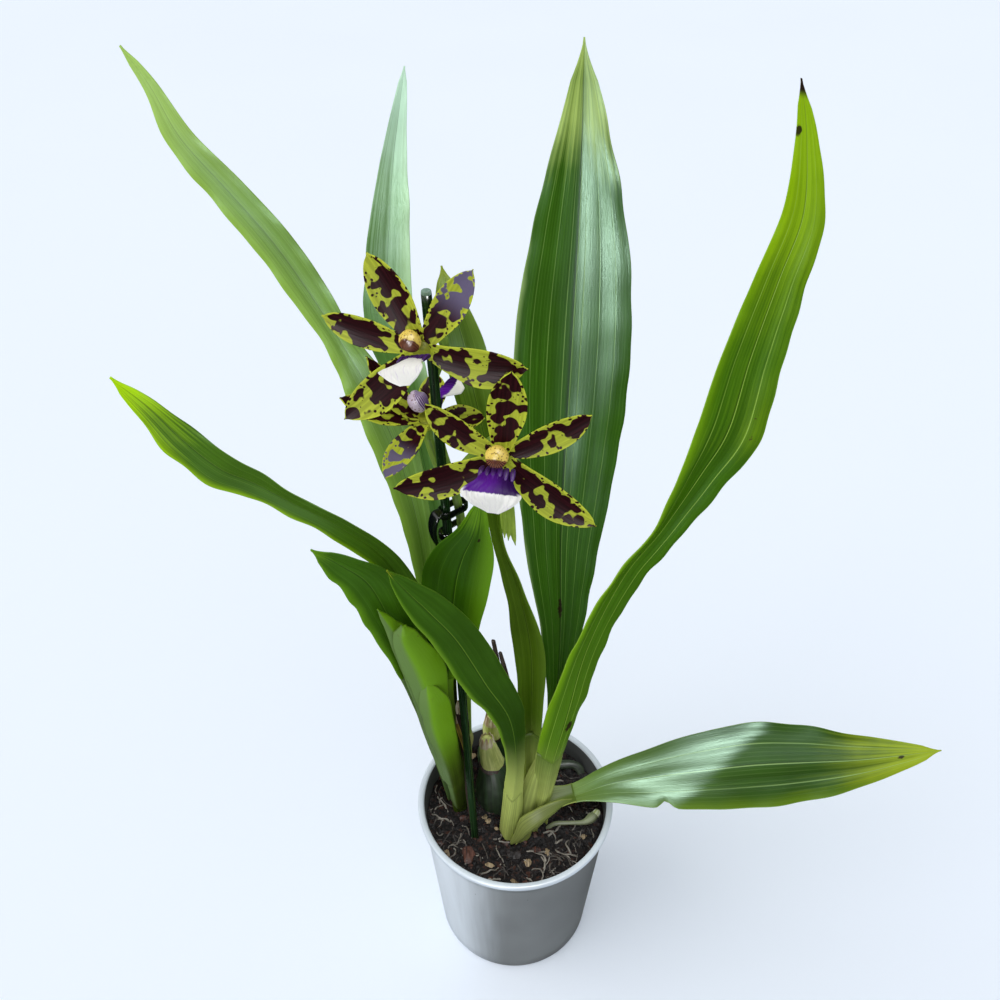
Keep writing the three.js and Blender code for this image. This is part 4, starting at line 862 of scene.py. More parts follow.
def leaf_material(name, look, sheath, under=False):
    """Strap leaf: thin veins that meet at the tip, a yellowing tip, a lit margin and green-white gloss."""
    ground, aged, edge, foot, rib = (hex_colour(look[k]) for k in ("ground", "aged", "edge", "foot", "rib"))
    veins = look["veins"]
    material, add, shader = begin(name)
    form, spot = add(FORM), add(SPOT)
    across = add(SPLIT, form)
    along = across.node.outputs[1]
    length = add(SPLIT, add(SCALE)).node.outputs[1]
    # streaks follow the blade: many across it, each some centimetres long
    lines = add(JOIN, add(MULTIPLY, across, 3 * veins), add(MULTIPLY, length, 1 / LEAF_STREAK))
    streak = add(NOISE, lines, 1, 3, 0.65)
    mottle = add(NOISE, spot, every(LEAF_CLOUD), 3)
    fleck = add(NOISE, spot, every(LEAF_FLECK), 2)
    streak_off, mottle_off = add(SUBTRACT, streak, 0.5), add(SUBTRACT, mottle, 0.5)
    base = add(MIX, add(RANGE, streak, 0.3, 0.7), shaded(ground, 0.82), shaded(ground, 1.16))
    base = add(MIX, add(RANGE, mottle, 0.4, 0.68, 0, 0.5), base, shaded(ground, 0.6))
    # painted shade: the foot colour, mostly darker than the ground, paints the shade low among the leaves
    base = add(MIX, add(RANGE, along, 0, look["footing"], 0.9, 0), base, foot)
    # one margin is lit through, and the blade yellows towards its tip in streaks
    lit = across if look["side"] > 0 else add(SUBTRACT, 1, across)
    lit = add(ADD, lit, add(MULTIPLY, mottle, 0.16))
    base = add(MIX, add(RANGE, lit, 1 - look["reach"], 1.12, 0, 0.85), base, edge)
    ripe = add(ADD, along, add(MULTIPLY, add(ADD, streak_off, mottle_off), 0.3))
    base = add(MIX, add(RANGE, ripe, look["from"], 1.02), base, aged)
    # veins: a few strong ones, finer ones between, faint in places
    strong = add(SUBTRACT, add(FRACT, add(MULTIPLY, across, veins)), 0.5)
    fine = add(SUBTRACT, add(FRACT, add(MULTIPLY, across, 5 * veins)), 0.5)
    vein = add(
        MAXIMUM, add(RANGE, add(ABSOLUTE, strong), 0.45, 0.5),
        add(RANGE, add(ABSOLUTE, fine), 0.3, 0.5, 0, look["fine"]),
    )
    vein = add(MULTIPLY, vein, add(RANGE, streak, 0.35, 0.65, 0.3 * look["bold"], look["bold"]))
    base = add(MIX, vein, base, rib)
    # the midrib: a pale line beside painted shade in its groove
    crease_shade = add(MULTIPLY, add(RANGE, across, 0.46, 0.494), add(RANGE, across, 0.494, 0.5, 1, 0))
    base = add(MIX, add(MULTIPLY, crease_shade, look["crease_shade"]), base, shaded(ground, 0.25))
    ridge = add(MULTIPLY, add(RANGE, across, 0.494, 0.5), add(RANGE, across, 0.5, 0.512, 1, 0))
    base = add(MIX, add(MULTIPLY, ridge, 0.6), base, rib)
    brown = add(MULTIPLY, add(RANGE, fleck, 0.71, 0.76), add(RANGE, mottle, 0.62, 0.7, 0, 0.7))
    base = add(MIX, brown, base, hex_colour("4a3214"))
    # dry scars, where the look lists any, have a ragged outline
    ragged = add(MULTIPLY, add(SUBTRACT, fleck, 0.5), 1.6)
    for at_across, at_along, wide, tall in look.get("scars", ()):
        off = add(VECTOR, form, (at_across, at_along, 0), operation="SUBTRACT")
        off = add(VECTOR, off, (1 / wide, 1 / tall, 0), operation="MULTIPLY")
        far = add(ADD, add(VECTOR, off, operation="LENGTH", out=1), ragged)
        base = add(MIX, add(RANGE, far, 0.6, 1.1, 0.95, 0), base, hex_colour("2c1a0c"))
    base = add(MIX, add(RANGE, length, *look.get("collar", COLLAR_FADE)), sheath, base)
    if under:
        base = add(MIX, add(RANGE, streak, 0.2, 0.8, 0.08, 0.2), base, shaded(edge, 1.2))
    if "dry" in look:
        dry = add(ADD, along, add(MULTIPLY, mottle_off, 0.02))
        base = add(MIX, add(RANGE, dry, look["dry"], look["dry"] + 0.015), base, hex_colour("2a1c12"))
    # the cuticle shines unevenly, with fine grooves between the veins and a pebbled skin
    pebble = add(JOIN, add(MULTIPLY, across, 26 * veins), add(MULTIPLY, length, 1 / LEAF_PEBBLE))
    pebble = add(NOISE, pebble, 1, 2)
    height = add(ADD, add(ADD, streak, add(MULTIPLY, vein, -0.6)), add(MULTIPLY, pebble, 0.5))
    # the wax is thickest in one patch, whose ends run slantwise over the blade
    start, stop, slant, left, right = look["shine"]
    slope = add(ADD, along, add(MULTIPLY, add(SUBTRACT, across, 0.5), slant))
    slope = add(ADD, slope, add(MULTIPLY, streak_off, 0.06))
    wax = add(MULTIPLY, add(RANGE, slope, *start), add(RANGE, slope, *stop, 1, 0))
    wax = add(MULTIPLY, wax, add(RANGE, across, left, right))
    plug(shader, {
        "Base Color": base, "Normal": add(BUMP, 0.4, 0.3 * MM, height),
        "Roughness": add(RANGE, streak, 0.3, 0.7, look["rough"] - 0.05, look["rough"] + 0.06),
        "Specular IOR Level": add(RANGE, wax, 0, 1, look["plain"], look["gloss"]),
        "Specular Tint": (0.7, 1.0, 0.8, 1.0),
    })
    return material


def sheath_material(name, ground, leaf, stripe=None):
    """Leaf base: smooth and satin, with faint parallel veins, greener towards its collar.

    A stripe colour, where given, runs up one side.
    """
    material, add, shader = begin(name)
    across, spot = add(SPLIT, add(FORM)), add(SPOT)
    length = add(SPLIT, add(SCALE)).node.outputs[1]
    lines = add(JOIN, add(MULTIPLY, across, 26), add(MULTIPLY, length, 1 / SHEATH_STREAK))
    vein = add(NOISE, lines, 1, 2)
    tone = add(NOISE, spot, every(SHEATH_CLOUD), 2)
    fleck = add(NOISE, spot, every(SHEATH_FLECK), 2)
    base = add(MIX, add(RANGE, vein, 0.35, 0.7), shaded(ground, 0.78), shaded(ground, 1.2))
    base = add(MIX, add(RANGE, tone, 0.4, 0.7, 0, 0.5), base, shaded(ground, 0.6))
    base = add(MIX, add(RANGE, length, *COLLAR_FADE), base, leaf)
    if stripe is not None:
        side = add(ADD, across, add(MULTIPLY, add(SUBTRACT, vein, 0.5), 0.1))
        base = add(MIX, add(RANGE, side, 0.26, 0.44, 0.8, 0), base, stripe)
    edge = add(ABSOLUTE, add(SUBTRACT, across, 0.5))
    base = add(MIX, add(RANGE, edge, 0.47, 0.5, 0, 0.6), base, shaded(ground, 1.5))
    brown = add(MULTIPLY, add(RANGE, fleck, 0.66, 0.74), add(RANGE, tone, 0.55, 0.7, 0, 0.8))
    plug(shader, {
        "Base Color": add(MIX, brown, base, hex_colour("5c4020")),
        "Roughness": add(RANGE, tone, 0.3, 0.7, 0.38, 0.5),
        "Normal": add(BUMP, 0.35, 0.2 * MM, vein), "Specular IOR Level": 0.1,
    })
    return material


def tepal_material(name, ground, blotch, size, under=False, tip=None):
    """Tepal: yellow-green with joined maroon blotches, a clear margin and a matt skin.

    tip, where given, is the lilac painted on its blotches in the outer half, as a painted reflection of the
    sky.
    """
    material, add, shader = begin(name)
    across, spot = add(SPLIT, add(FORM)), add(SPOT)
    along = across.node.outputs[1]
    # blotches are joined round cells, bent 2.2 mm out of line at most, of the size set
    bend = add(NOISE, spot, every(4.167), 0.6, out=1)
    shift = add(VECTOR, bend, (0.5, 0.5, 0.5), operation="SUBTRACT")
    shift = add(VECTOR, shift, (2.2 * MM, 2.2 * MM, 2.2 * MM), operation="MULTIPLY")
    where = add(VECTOR, spot, shift)
    cells = add(CELLS, where, 1 / size, 0.5, feature="SMOOTH_F1")
    small = add(CELLS, where, 2.1 / size, 0.2, feature="SMOOTH_F1")
    patch = add(NOISE, spot, every(4.762), 1)
    edge = add(ABSOLUTE, add(SUBTRACT, across, 0.5))
    clear = add(ADD, add(RANGE, edge, 0.3, 0.49, 0, 0.34), add(RANGE, along, 0, 0.16, 0.34, 0))
    reach = add(SUBTRACT, add(RANGE, patch, 0.36, 0.64, 0.46, 0.74), clear)
    large = add(RANGE, add(SUBTRACT, cells, reach), 0, 0.06, 1, 0)
    fine = add(SUBTRACT, small, add(RANGE, edge, 0.15, 0.42, 0.08, 0.27))
    mark = add(MAXIMUM, large, add(RANGE, fine, 0, 0.1, 1, 0))
    # the veins under the blotches are fine and run the length of the tepal
    vein = add(NOISE, add(STRETCH, add(SCALE), drawn(0.833, 16.67)), 1, 2)
    base = add(MIX, add(RANGE, vein, 0.35, 0.7), shaded(ground, 0.82), shaded(ground, 1.18))
    base = add(MIX, add(RANGE, edge, 0.4, 0.5, 0, 0.5), base, shaded(ground, 1.5))
    dark = add(MIX, add(RANGE, vein, 0.35, 0.7), shaded(blotch, 0.7), shaded(blotch, 1.4))
    # painted reflection: the outer half of the blotches is painted with the sky's lilac sheen
    if tip is not None:
        dark = add(MIX, add(RANGE, along, 0.3, 0.62, 0, 0.9), dark, tip)
    plug(shader, {
        "Base Color": add(MIX, add(MULTIPLY, mark, 0.35 if under else 1), base, dark),
        "Roughness": add(RANGE, mark, 0, 1, 0.55, 0.42), "Normal": add(BUMP, 0.5, 0.2 * MM, vein),
        "Specular IOR Level": 0.05,
    })
    return material


def lip_material(name, violet, white, start):
    """Lip: violet fan with lilac streaks, and a crystalline white rolled margin from `start` on."""
    material, add, shader = begin(name)
    scale, across = add(SCALE), add(SPLIT, add(FORM))
    along = across.node.outputs[1]
    streak = add(NOISE, add(STRETCH, scale, drawn(0.667, 6.25)), 1, 2, 0.6)
    edge = add(ABSOLUTE, add(SUBTRACT, across, 0.5))
    lilac = add(MULTIPLY, add(RANGE, streak, 0.5, 0.7, 0, 0.7), add(RANGE, along, 0.05, 0.45, 1, 0))
    lilac = add(MULTIPLY, lilac, add(RANGE, edge, 0.05, 0.4, 1, 0))
    # the violet darkens towards one side: partly its deeper colour, partly painted shade
    violet_shaded_side = add(MIX, add(RANGE, across, 0.35, 0.85), violet, shaded(violet, 0.3))
    middle = add(MIX, lilac, violet_shaded_side, hex_colour("a06fd0"))
    waver = add(MULTIPLY, add(SUBTRACT, streak, 0.5), 0.05)
    side = add(RANGE, add(ADD, edge, waver), 0.42, 0.48)
    side = add(MULTIPLY, side, add(RANGE, along, start - 0.07, start))
    pale = add(MAXIMUM, add(RANGE, add(ADD, along, waver), start, start + 0.03), side)
    tinge = add(MIX, add(RANGE, streak, 0.55, 0.75, 0, 0.35), white, hex_colour("a98ac8"))
    # the crystals of the skin stand 0.45 mm apart
    height = add(ADD, streak, add(MULTIPLY, add(NOISE, scale, 1 / 0.4545, 2), 0.5))
    plug(shader, {
        "Base Color": add(MIX, pale, middle, tinge), "Roughness": 0.5,
        "Normal": add(BUMP, 0.5, 0.3 * MM, height),
        "Specular IOR Level": add(RANGE, pale, 0, 1, 0.06, 0.3),
        "Subsurface Weight": 0.1, "Subsurface Radius": (1.0, 0.9, 1.0), "Subsurface Scale": 0.6 * MM,
    })
    return material


def column_material(name, cap, upper="300c14", lower="a06038"):
    """Column: yellow anther cap with brown dots, and red-brown stripes on the throat below it."""
    material, add, shader = begin(name)
    spot = add(SPOT)
    # the map in mm holds forward and up of each point, so the cap's lower edge is a slant line
    level = add(VECTOR, add(SCALE), (-0.64, 0.77, 0), operation="DOT_PRODUCT", out=1)
    noise = add(NOISE, spot, every(1.111), 2)
    yellow = add(RANGE, add(ADD, level, add(MULTIPLY, noise, 0.8)), -1.1, -0.5)
    dots = add(RANGE, add(CELLS, spot, every(0.909)), 0.2, 0.36, 1, 0)
    stripe = add(WAVES, add(STRETCH, add(FORM), (1, 0.05, 1)), 9, 1.5, 2)
    throat = add(MIX, add(RANGE, stripe, 0.45, 0.95), hex_colour(upper), hex_colour(lower))
    base = add(MIX, add(MULTIPLY, dots, 0.75), cap, hex_colour("6b3a14"))
    plug(shader, {
        "Base Color": add(MIX, yellow, throat, base), "Roughness": add(RANGE, yellow, 0, 1, 0.35, 0.48),
        "Normal": add(BUMP, 0.4, 0.2 * MM, noise), "Specular IOR Level": 0.3,
    })
    return material


def stalk_material(name, ground, dark, rough=0.45, wide=1.667):
    """Fresh or dried stalk, root or bulb skin: long streaks `wide` mm across and a fibrous relief."""
    material, add, shader = begin(name)
    line = add(NOISE, add(STRETCH, add(SCALE), drawn(wide, 25)), 1, 3, 0.65)
    tone = add(NOISE, add(SPOT), every(8.33), 3)
    base = add(MIX, add(RANGE, line, 0.35, 0.68), dark, ground)
    plug(shader, {
        "Base Color": add(MIX, add(RANGE, tone, 0.45, 0.75, 0, 0.5), base, shaded(ground, 1.4)),
        "Roughness": add(RANGE, tone, 0.3, 0.7, rough, rough + 0.15),
        "Normal": add(BUMP, 0.6, 0.3 * MM, add(ADD, line, add(MULTIPLY, tone, 0.4))),
        "Specular IOR Level": 0.3,
    })
    return material


def cane_material(name, ground):
    """Plastic-coated cane: dark green gloss, with fine lengthwise ridges and paler worn specks."""
    material, add, shader = begin(name)
    line = add(NOISE, add(STRETCH, add(SCALE), drawn(0.625, 50)), 1, 2)
    speck = add(NOISE, add(SPOT), every(1.111), 2)
    base = add(MIX, add(RANGE, line, 0.4, 0.7), shaded(ground, 0.6), shaded(ground, 1.7))
    plug(shader, {
        "Base Color": add(MIX, add(RANGE, speck, 0.66, 0.72, 0, 0.5), base, hex_colour("5c7048")),
        "Roughness": add(RANGE, line, 0.3, 0.7, 0.2, 0.34), "Normal": add(BUMP, 0.35, 0.2 * MM, line),
        "Specular IOR Level": 0.4,
    })
    return material


def plastic_material(name, ground, rough, speck=None, satin=0.0, painted_lit_side=None):
    """Moulded plastic: even colour with faint flow clouds, dust specks and a satin sheen."""
    material, add, shader = begin(name)
    spot = add(SPOT)
    cloud = add(NOISE, spot, every(38.5), 3)
    grain = add(NOISE, spot, every(0.625), 2)
    base = add(MIX, add(RANGE, cloud, 0.35, 0.7), shaded(ground, 0.92), shaded(ground, 1.08))
    if painted_lit_side is not None:
        # painted highlight: the window side is painted paler, in a band that ends in faint upright streaks
        tall = add(NOISE, add(STRETCH, spot, (every(3.846), every(3.846), every(111))), 1, 2)
        side = add(ADD, add(SPLIT, spot), add(MULTIPLY, add(SUBTRACT, tall, 0.5), 8 * MM))
        base = add(MIX, add(RANGE, side, -36 * MM, -2 * MM, 1, 0), base, painted_lit_side)
    if speck is not None:
        dust = add(CELLS, spot, every(5.882))
        pick = add(SPLIT, dust.node.outputs["Color"])
        few = add(MULTIPLY, add(RANGE, dust, 0.03, 0.05, 1, 0), add(RANGE, pick, 0.8, 0.86))
        base = add(MIX, few, base, speck)
    plug(shader, {
        "Base Color": base, "Roughness": add(RANGE, cloud, 0.3, 0.7, rough, rough + 0.08),
        "Normal": add(BUMP, 0.25, 0.1 * MM, grain), "Coat Weight": satin, "Coat Roughness": 0.2,
    })
    return material


def coir_material(name, ground, light):
    """Potting mix: near-black coir with reddish-brown grains, damp in places."""
    material, add, shader = begin(name)
    spot = add(SPOT)
    grains = add(CELLS, spot, every(1.429))
    pick = add(SPLIT, grains.node.outputs["Color"])
    tone = add(NOISE, spot, every(3.333), 4, 0.7)
    base = add(MIX, add(RANGE, pick, 0.5, 0.95), ground, light)
    height = add(ADD, tone, add(MULTIPLY, grains, 0.7))
    plug(shader, {
        "Base Color": add(MIX, add(RANGE, tone, 0.4, 0.7), shaded(ground, 0.6), base),
        "Roughness": add(RANGE, tone, 0.3, 0.7, 0.6, 0.95), "Normal": add(BUMP, 1, 0.8 * MM, height),
        "Specular IOR Level": 0.2,
    })
    return material


def floor_material(name, ground):
    """Studio floor: even matt paper with the faintest tone in it."""
    material, add, shader = begin(name)
    tone = add(NOISE, add(SPOT), every(333), 2)
    plug(shader, {
        "Base Color": add(MIX, tone, shaded(ground, 0.99), ground),
        "Roughness": add(RANGE, tone, 0.3, 0.7, 0.85, 0.95), "Specular IOR Level": 0.1,
    })
    return material


# ---------------------------------------------------------------- blooms


def axes(bloom):
    """A bloom's forward, upward and sideways directions."""
    forward = unit(bloom["facing"])
    up = np.array(bloom["up"], float)
    up = unit(up - forward * (up @ forward))
    return forward, up, np.cross(up, forward)


def place(bloom, forward, rise, aside=0.0):
    """A point of a bloom, in mm forward, up and to the side of its centre."""
    n, u, side = axes(bloom)
    return np.array(bloom["at"], float) + n * forward + u * rise + side * aside


def gazing(bloom):
    """The bloom turned the way its column and lip point."""
    return {**bloom, "facing": bloom.get("gaze", bloom["facing"]), "up": bloom.get("crown", bloom["up"])}


def compass(across):
    """Heading and rise, in degrees, of a direction."""
    return math.degrees(math.atan2(across[1], across[0])), math.degrees(math.asin(across[2]))


def tepal_rows(bloom, angle, length, width, lift, bow):
    """Rows of one tepal: its tip `lift` forward, its middle bent sideways by `bow`."""
    n, up, side = axes(bloom)
    turn = math.radians(angle)
    along = up * math.cos(turn) + side * math.sin(turn)
    across = np.cross(along, n)
    heading, rise = compass(across)
    rows = []
    for s, share in ((0, 0.42), (0.2, 0.72), (0.45, 1), (0.68, 0.94), (0.87, 0.58), (1, 0.05)):
        point = (
            np.array(bloom["at"]) + along * (TEPAL_ROOT + (length - TEPAL_ROOT) * s)
            + across * 4 * bow * s * (1 - s) + n * lift * s * s
        )
        rows.append([*point, width / 2 * share, heading, rise, 10])
    return rows


def bloom_tepals(name, bloom, materials, curl):
    """The three sepals and two petals on their receptacle."""
    shape = Shape()
    core = [[*place(bloom, f, 0), r] for f, r in ((-4, 1.6), (-1.5, 3), (0.9, 3))]
    stem(shape, core, sides=24, slot=1, closing=False)
    for seed, tepal in enumerate(bloom["tepals"]):
        blade(
            shape, tepal_rows(bloom, *tepal), rings=56, columns=21, thickness=TEPAL_THICKNESS,
            root=1.3, wave=0.35, curl=curl, crease=0.25, seed=seed + len(name),
            slots=(2 if seed == PAINTED_SHEEN_TEPALS.get(name) else 0, 1),
        )
    shape.finish(f"{name}_tepals", materials, [f"{name}_bloom_tepals"])


def bloom_lip(name, bloom, materials):
    """The lip: a ridged claw that fans out to a rolled, frilled margin."""
    shape = Shape()
    turned = gazing(bloom)
    size, drop = bloom.get("lip_size", 1), bloom.get("lip_drop", 1)
    heading, rise = compass(axes(turned)[2])

    def point(forward, up, aside=0.0):
        return place(turned, forward * size, up * size * drop, aside * size)

    profile = (
        (3.4, -2.7, 0, 3.8, 12), (7, -2.9, 0, 4.9, 10), (10.5, -3.3, 0, 6.3, 8), (13, -4.9, -0.9, 9.3, 4),
        (14.2, -7.6, -0.1, 6.9, -6), (13.8, -11.4, 0.3, 1.9, -10),
    )
    rows = [[*point(f, u, a), half * size, heading, rise, fold] for f, u, a, half, fold in profile]
    blade(
        shape, rows, rings=70, columns=45, thickness=TEPAL_THICKNESS, wave=1.2, crease=0.3,
        pleat=lambda u: 0.12 * np.cos(u * 26) + 0.3 * np.exp(-((np.abs(u) - 0.5) ** 2) / 0.02),
        seed=len(name) + 5, closing=False,
    )
    for aside in (-4.4, -2.6, -0.9, 0.9, 2.6, 4.4):
        rows = [
            [*point(f, u, aside * (1 + f * 0.02)), r * size]
            for f, u, r in ((3.5, -2.2, 0.7), (5.6, -2.1, 0.95), (8.2, -2.9, 0.5))
        ]
        stem(shape, rows, sides=10, steps=5, slot=1)
    shape.finish(f"{name}_lip", materials, [f"{name}_bloom_lip"])


def bloom_column(name, bloom, materials):
    """The column: hooded, with its round anther cap."""
    shape = Shape()
    turned = gazing(bloom)
    size = bloom.get("lip_size", 1)
    n, up, _ = axes(turned)
    rows = [
        [*place(turned, f * size, u * size), r * size]
        for f, u, r in ((3.4, 1.5, 1.8), (4.3, 2.3, 2.8), (5.8, 3.8, 3.5), (7.7, 5.1, 3.2), (9, 5.7, 1.4))
    ]
    centre = place(turned, 6.7 * size, 4.5 * size)

    def measure(points):
        away = (points - centre) / size
        return np.stack([away @ n, away @ up], -1)

    stem(shape, rows, sides=40, steps=10, measure=measure, bulge=lambda a, t: 1 + 0.02 * np.cos(5 * a))
    shape.finish(f"{name}_column", materials, [f"{name}_bloom_column"])


# ---------------------------------------------------------------- pot and mix


def soil_height(x, y):
    """Height of the mix, as in the CAD."""
    coarse = np.sin(0.31 * x + 1.3) * np.cos(0.27 * y + 0.4)
    fine = np.sin(0.83 * x - 0.52 * y) * np.cos(0.71 * y + 0.37 * x + 2.1)
    return SOIL_LEVEL + SOIL_ROUGHNESS * (0.5 * coarse + 0.5 * fine)


def inner_radius(z):
    """The pot's inner radius at a height."""
    share = (z - POT_FLOOR_TOP) / (POT_HEIGHT - POT_FLOOR_TOP)
    return (POT_FOOT_RADIUS - POT_WALL) * (1 - share) + (POT_RIM_RADIUS - POT_RIM_WIDTH) * share


def grain(shape, rng, centre, size, slot=0, flat=0.8, rough=0.25):
    """One irregular grain."""
    points, faces = GRAIN
    stretch = rng.uniform(0.6, 1.3, 3) * size * np.array([1, 1, flat])
    turn = rng.uniform(0, 2 * math.pi)
    spin = np.array([[math.cos(turn), -math.sin(turn), 0], [math.sin(turn), math.cos(turn), 0], [0, 0, 1]])
    lumps = 1 + rng.uniform(-rough, rough, (len(points), 1))
    body = (points * lumps * stretch) @ spin.T + centre
    uv = body[faces][..., :2]
    shape.body(body, faces, uv / 90 + 0.5, uv, slot)


def icosphere():
    """Points and faces of a small round body."""
    golden = (1 + math.sqrt(5)) / 2
    corners = []
    for a in (-1, 1):
        for b in (-golden, golden):
            corners += [(0, a, b), (a, b, 0), (b, 0, a)]
    corners = unit(corners)
    near = 1.06 * min(np.linalg.norm(corners[0] - c) for c in corners[1:])
    faces = [
        (i, j, k)
        for i in range(12) for j in range(i + 1, 12) for k in range(j + 1, 12)
        if all(np.linalg.norm(corners[p] - corners[q]) < near for p, q in ((i, j), (j, k), (i, k)))
    ]
    points = [tuple(c) for c in corners]
    middle = {}

    def between(p, q):
        key = (min(p, q), max(p, q))
        if key not in middle:
            middle[key] = len(points)
            points.append(tuple(unit(corners[p] + corners[q])))
        return middle[key]

    small = []
    for i, j, k in faces:
        a, b, c = between(i, j), between(j, k), between(i, k)
        small += [(i, a, c), (a, j, b), (c, b, k), (a, b, c)]
    points = np.array(points)
    turned = []
    for i, j, k in small:
        outward = np.cross(points[j] - points[i], points[k] - points[i]) @ points[i] > 0
        turned.append((i, j, k) if outward else (i, k, j))
    return points, np.array(turned)


GRAIN = icosphere()


def fibre(shape, rng, x, y, length, radius, slot, lift=1.2):
    """A bent root fibre, half sunk in the mix."""
    heading = rng.uniform(0, 2 * math.pi)
    curl = rng.normal(0, 0.2)
    rows = []
    for i in range(7):
        edge = math.hypot(x, y)
        if edge > FIBRE_REACH:
            x, y = x * FIBRE_REACH / edge, y * FIBRE_REACH / edge
        z = soil_height(x, y) + 0.1 + lift * rng.uniform(0.1, 1) * math.sin(math.pi * (i + 0.3) / 6.6)
        rows.append([x, y, z, radius * rng.uniform(0.6, 1.15)])
        heading += curl + rng.normal(0, 0.3)
        x += math.cos(heading) * length / 6
        y += math.sin(heading) * length / 6
    stem(shape, rows, steps=3, sides=6, slot=slot)


def cut(piece, cutters):
    """Cuts the cutters out of a piece and removes them."""
    for cutter in cutters:
        modifier = piece.modifiers.new("cut", "BOOLEAN")
        modifier.operation = "DIFFERENCE"
        modifier.solver = "EXACT"
        modifier.object = cutter
    bpy.context.view_layer.update()
    whole = bpy.data.meshes.new_from_object(piece.evaluated_get(bpy.context.evaluated_depsgraph_get()))
    piece.modifiers.clear()
    piece.data = whole
    for cutter in cutters:
        bpy.data.objects.remove(cutter)


# ---------------------------------------------------------------- operators


class ORCHID_OT_stage(bpy.types.Operator):
    """Lays the plain floor and sets the camera, the sky and the soft lamps."""

    bl_idname = "orchid.stage"
    bl_label = "Stage"

    def execute(self, context):
        """Builds the stage."""
        scene = context.scene
        mesh = bpy.data.meshes.new("floor")
        around = ((-1, -1), (1, -1), (1, 1), (-1, 1))
        corners = [(x * FLOOR_REACH, y * FLOOR_REACH, -FLOOR_DROP) for x, y in around]
        mesh.from_pydata(corners, [], [(0, 1, 2, 3)])
        mesh.materials.append(floor_material("Matt studio paper", scene.orchid_colours.floor))
        floor = bpy.data.objects.new("floor", mesh)
        scene.collection.objects.link(floor)
        floor.visible_glossy = False

        data = bpy.data.cameras.new("camera")
        data.sensor_width = CAMERA_SENSOR
        data.lens = CAMERA_LENS
        data.clip_end = CAMERA_REACH
        camera = bpy.data.objects.new("camera", data)
        camera.location = CAMERA_PLACE
        camera.rotation_euler = (math.radians(90 - CAMERA_PITCH), 0, 0)
        scene.collection.objects.link(camera)
        scene.camera = camera

        world = bpy.data.worlds.new("soft studio")
        world.use_nodes = True
        tree = world.node_tree
        # the sky dims from overhead down to the horizon, and stays out of reflections, which are left to
        # the softboxes
        way = add_node(tree, SPLIT, add_node(tree, SKY_WAY))
        height = add_node(tree, EVEN_RANGE, way.node.outputs[2], *SKY_STRENGTH)
        plug(tree.nodes["Background"], {"Color": SKY_TINT, "Strength": height})
        scene.world = world
        world.cycles_visibility.glossy = False
        scene.view_settings.view_transform = "Standard"
        for name, (kind, at, toward, size, power, tint) in LAMPS.items():
            light = bpy.data.lights.new(name, kind)
            light.energy = power
            light.color = tint
            if kind == "SUN":
                light.angle = math.radians(size)
            else:
                light.shape = "DISK"
                light.size = size
            lamp = bpy.data.objects.new(name, light)
            lamp.location = at
            aim = np.array(toward) - np.array(at)
            level = math.hypot(aim[0], aim[1])
            lamp.rotation_euler = (math.atan2(level, -aim[2]), 0, math.atan2(-aim[0], aim[1]))
            # the two softboxes only shine in glossy surfaces, so that the floor stays even
            lamp.visible_diffuse = kind == "SUN"
            scene.collection.objects.link(lamp)
        return {"FINISHED"}


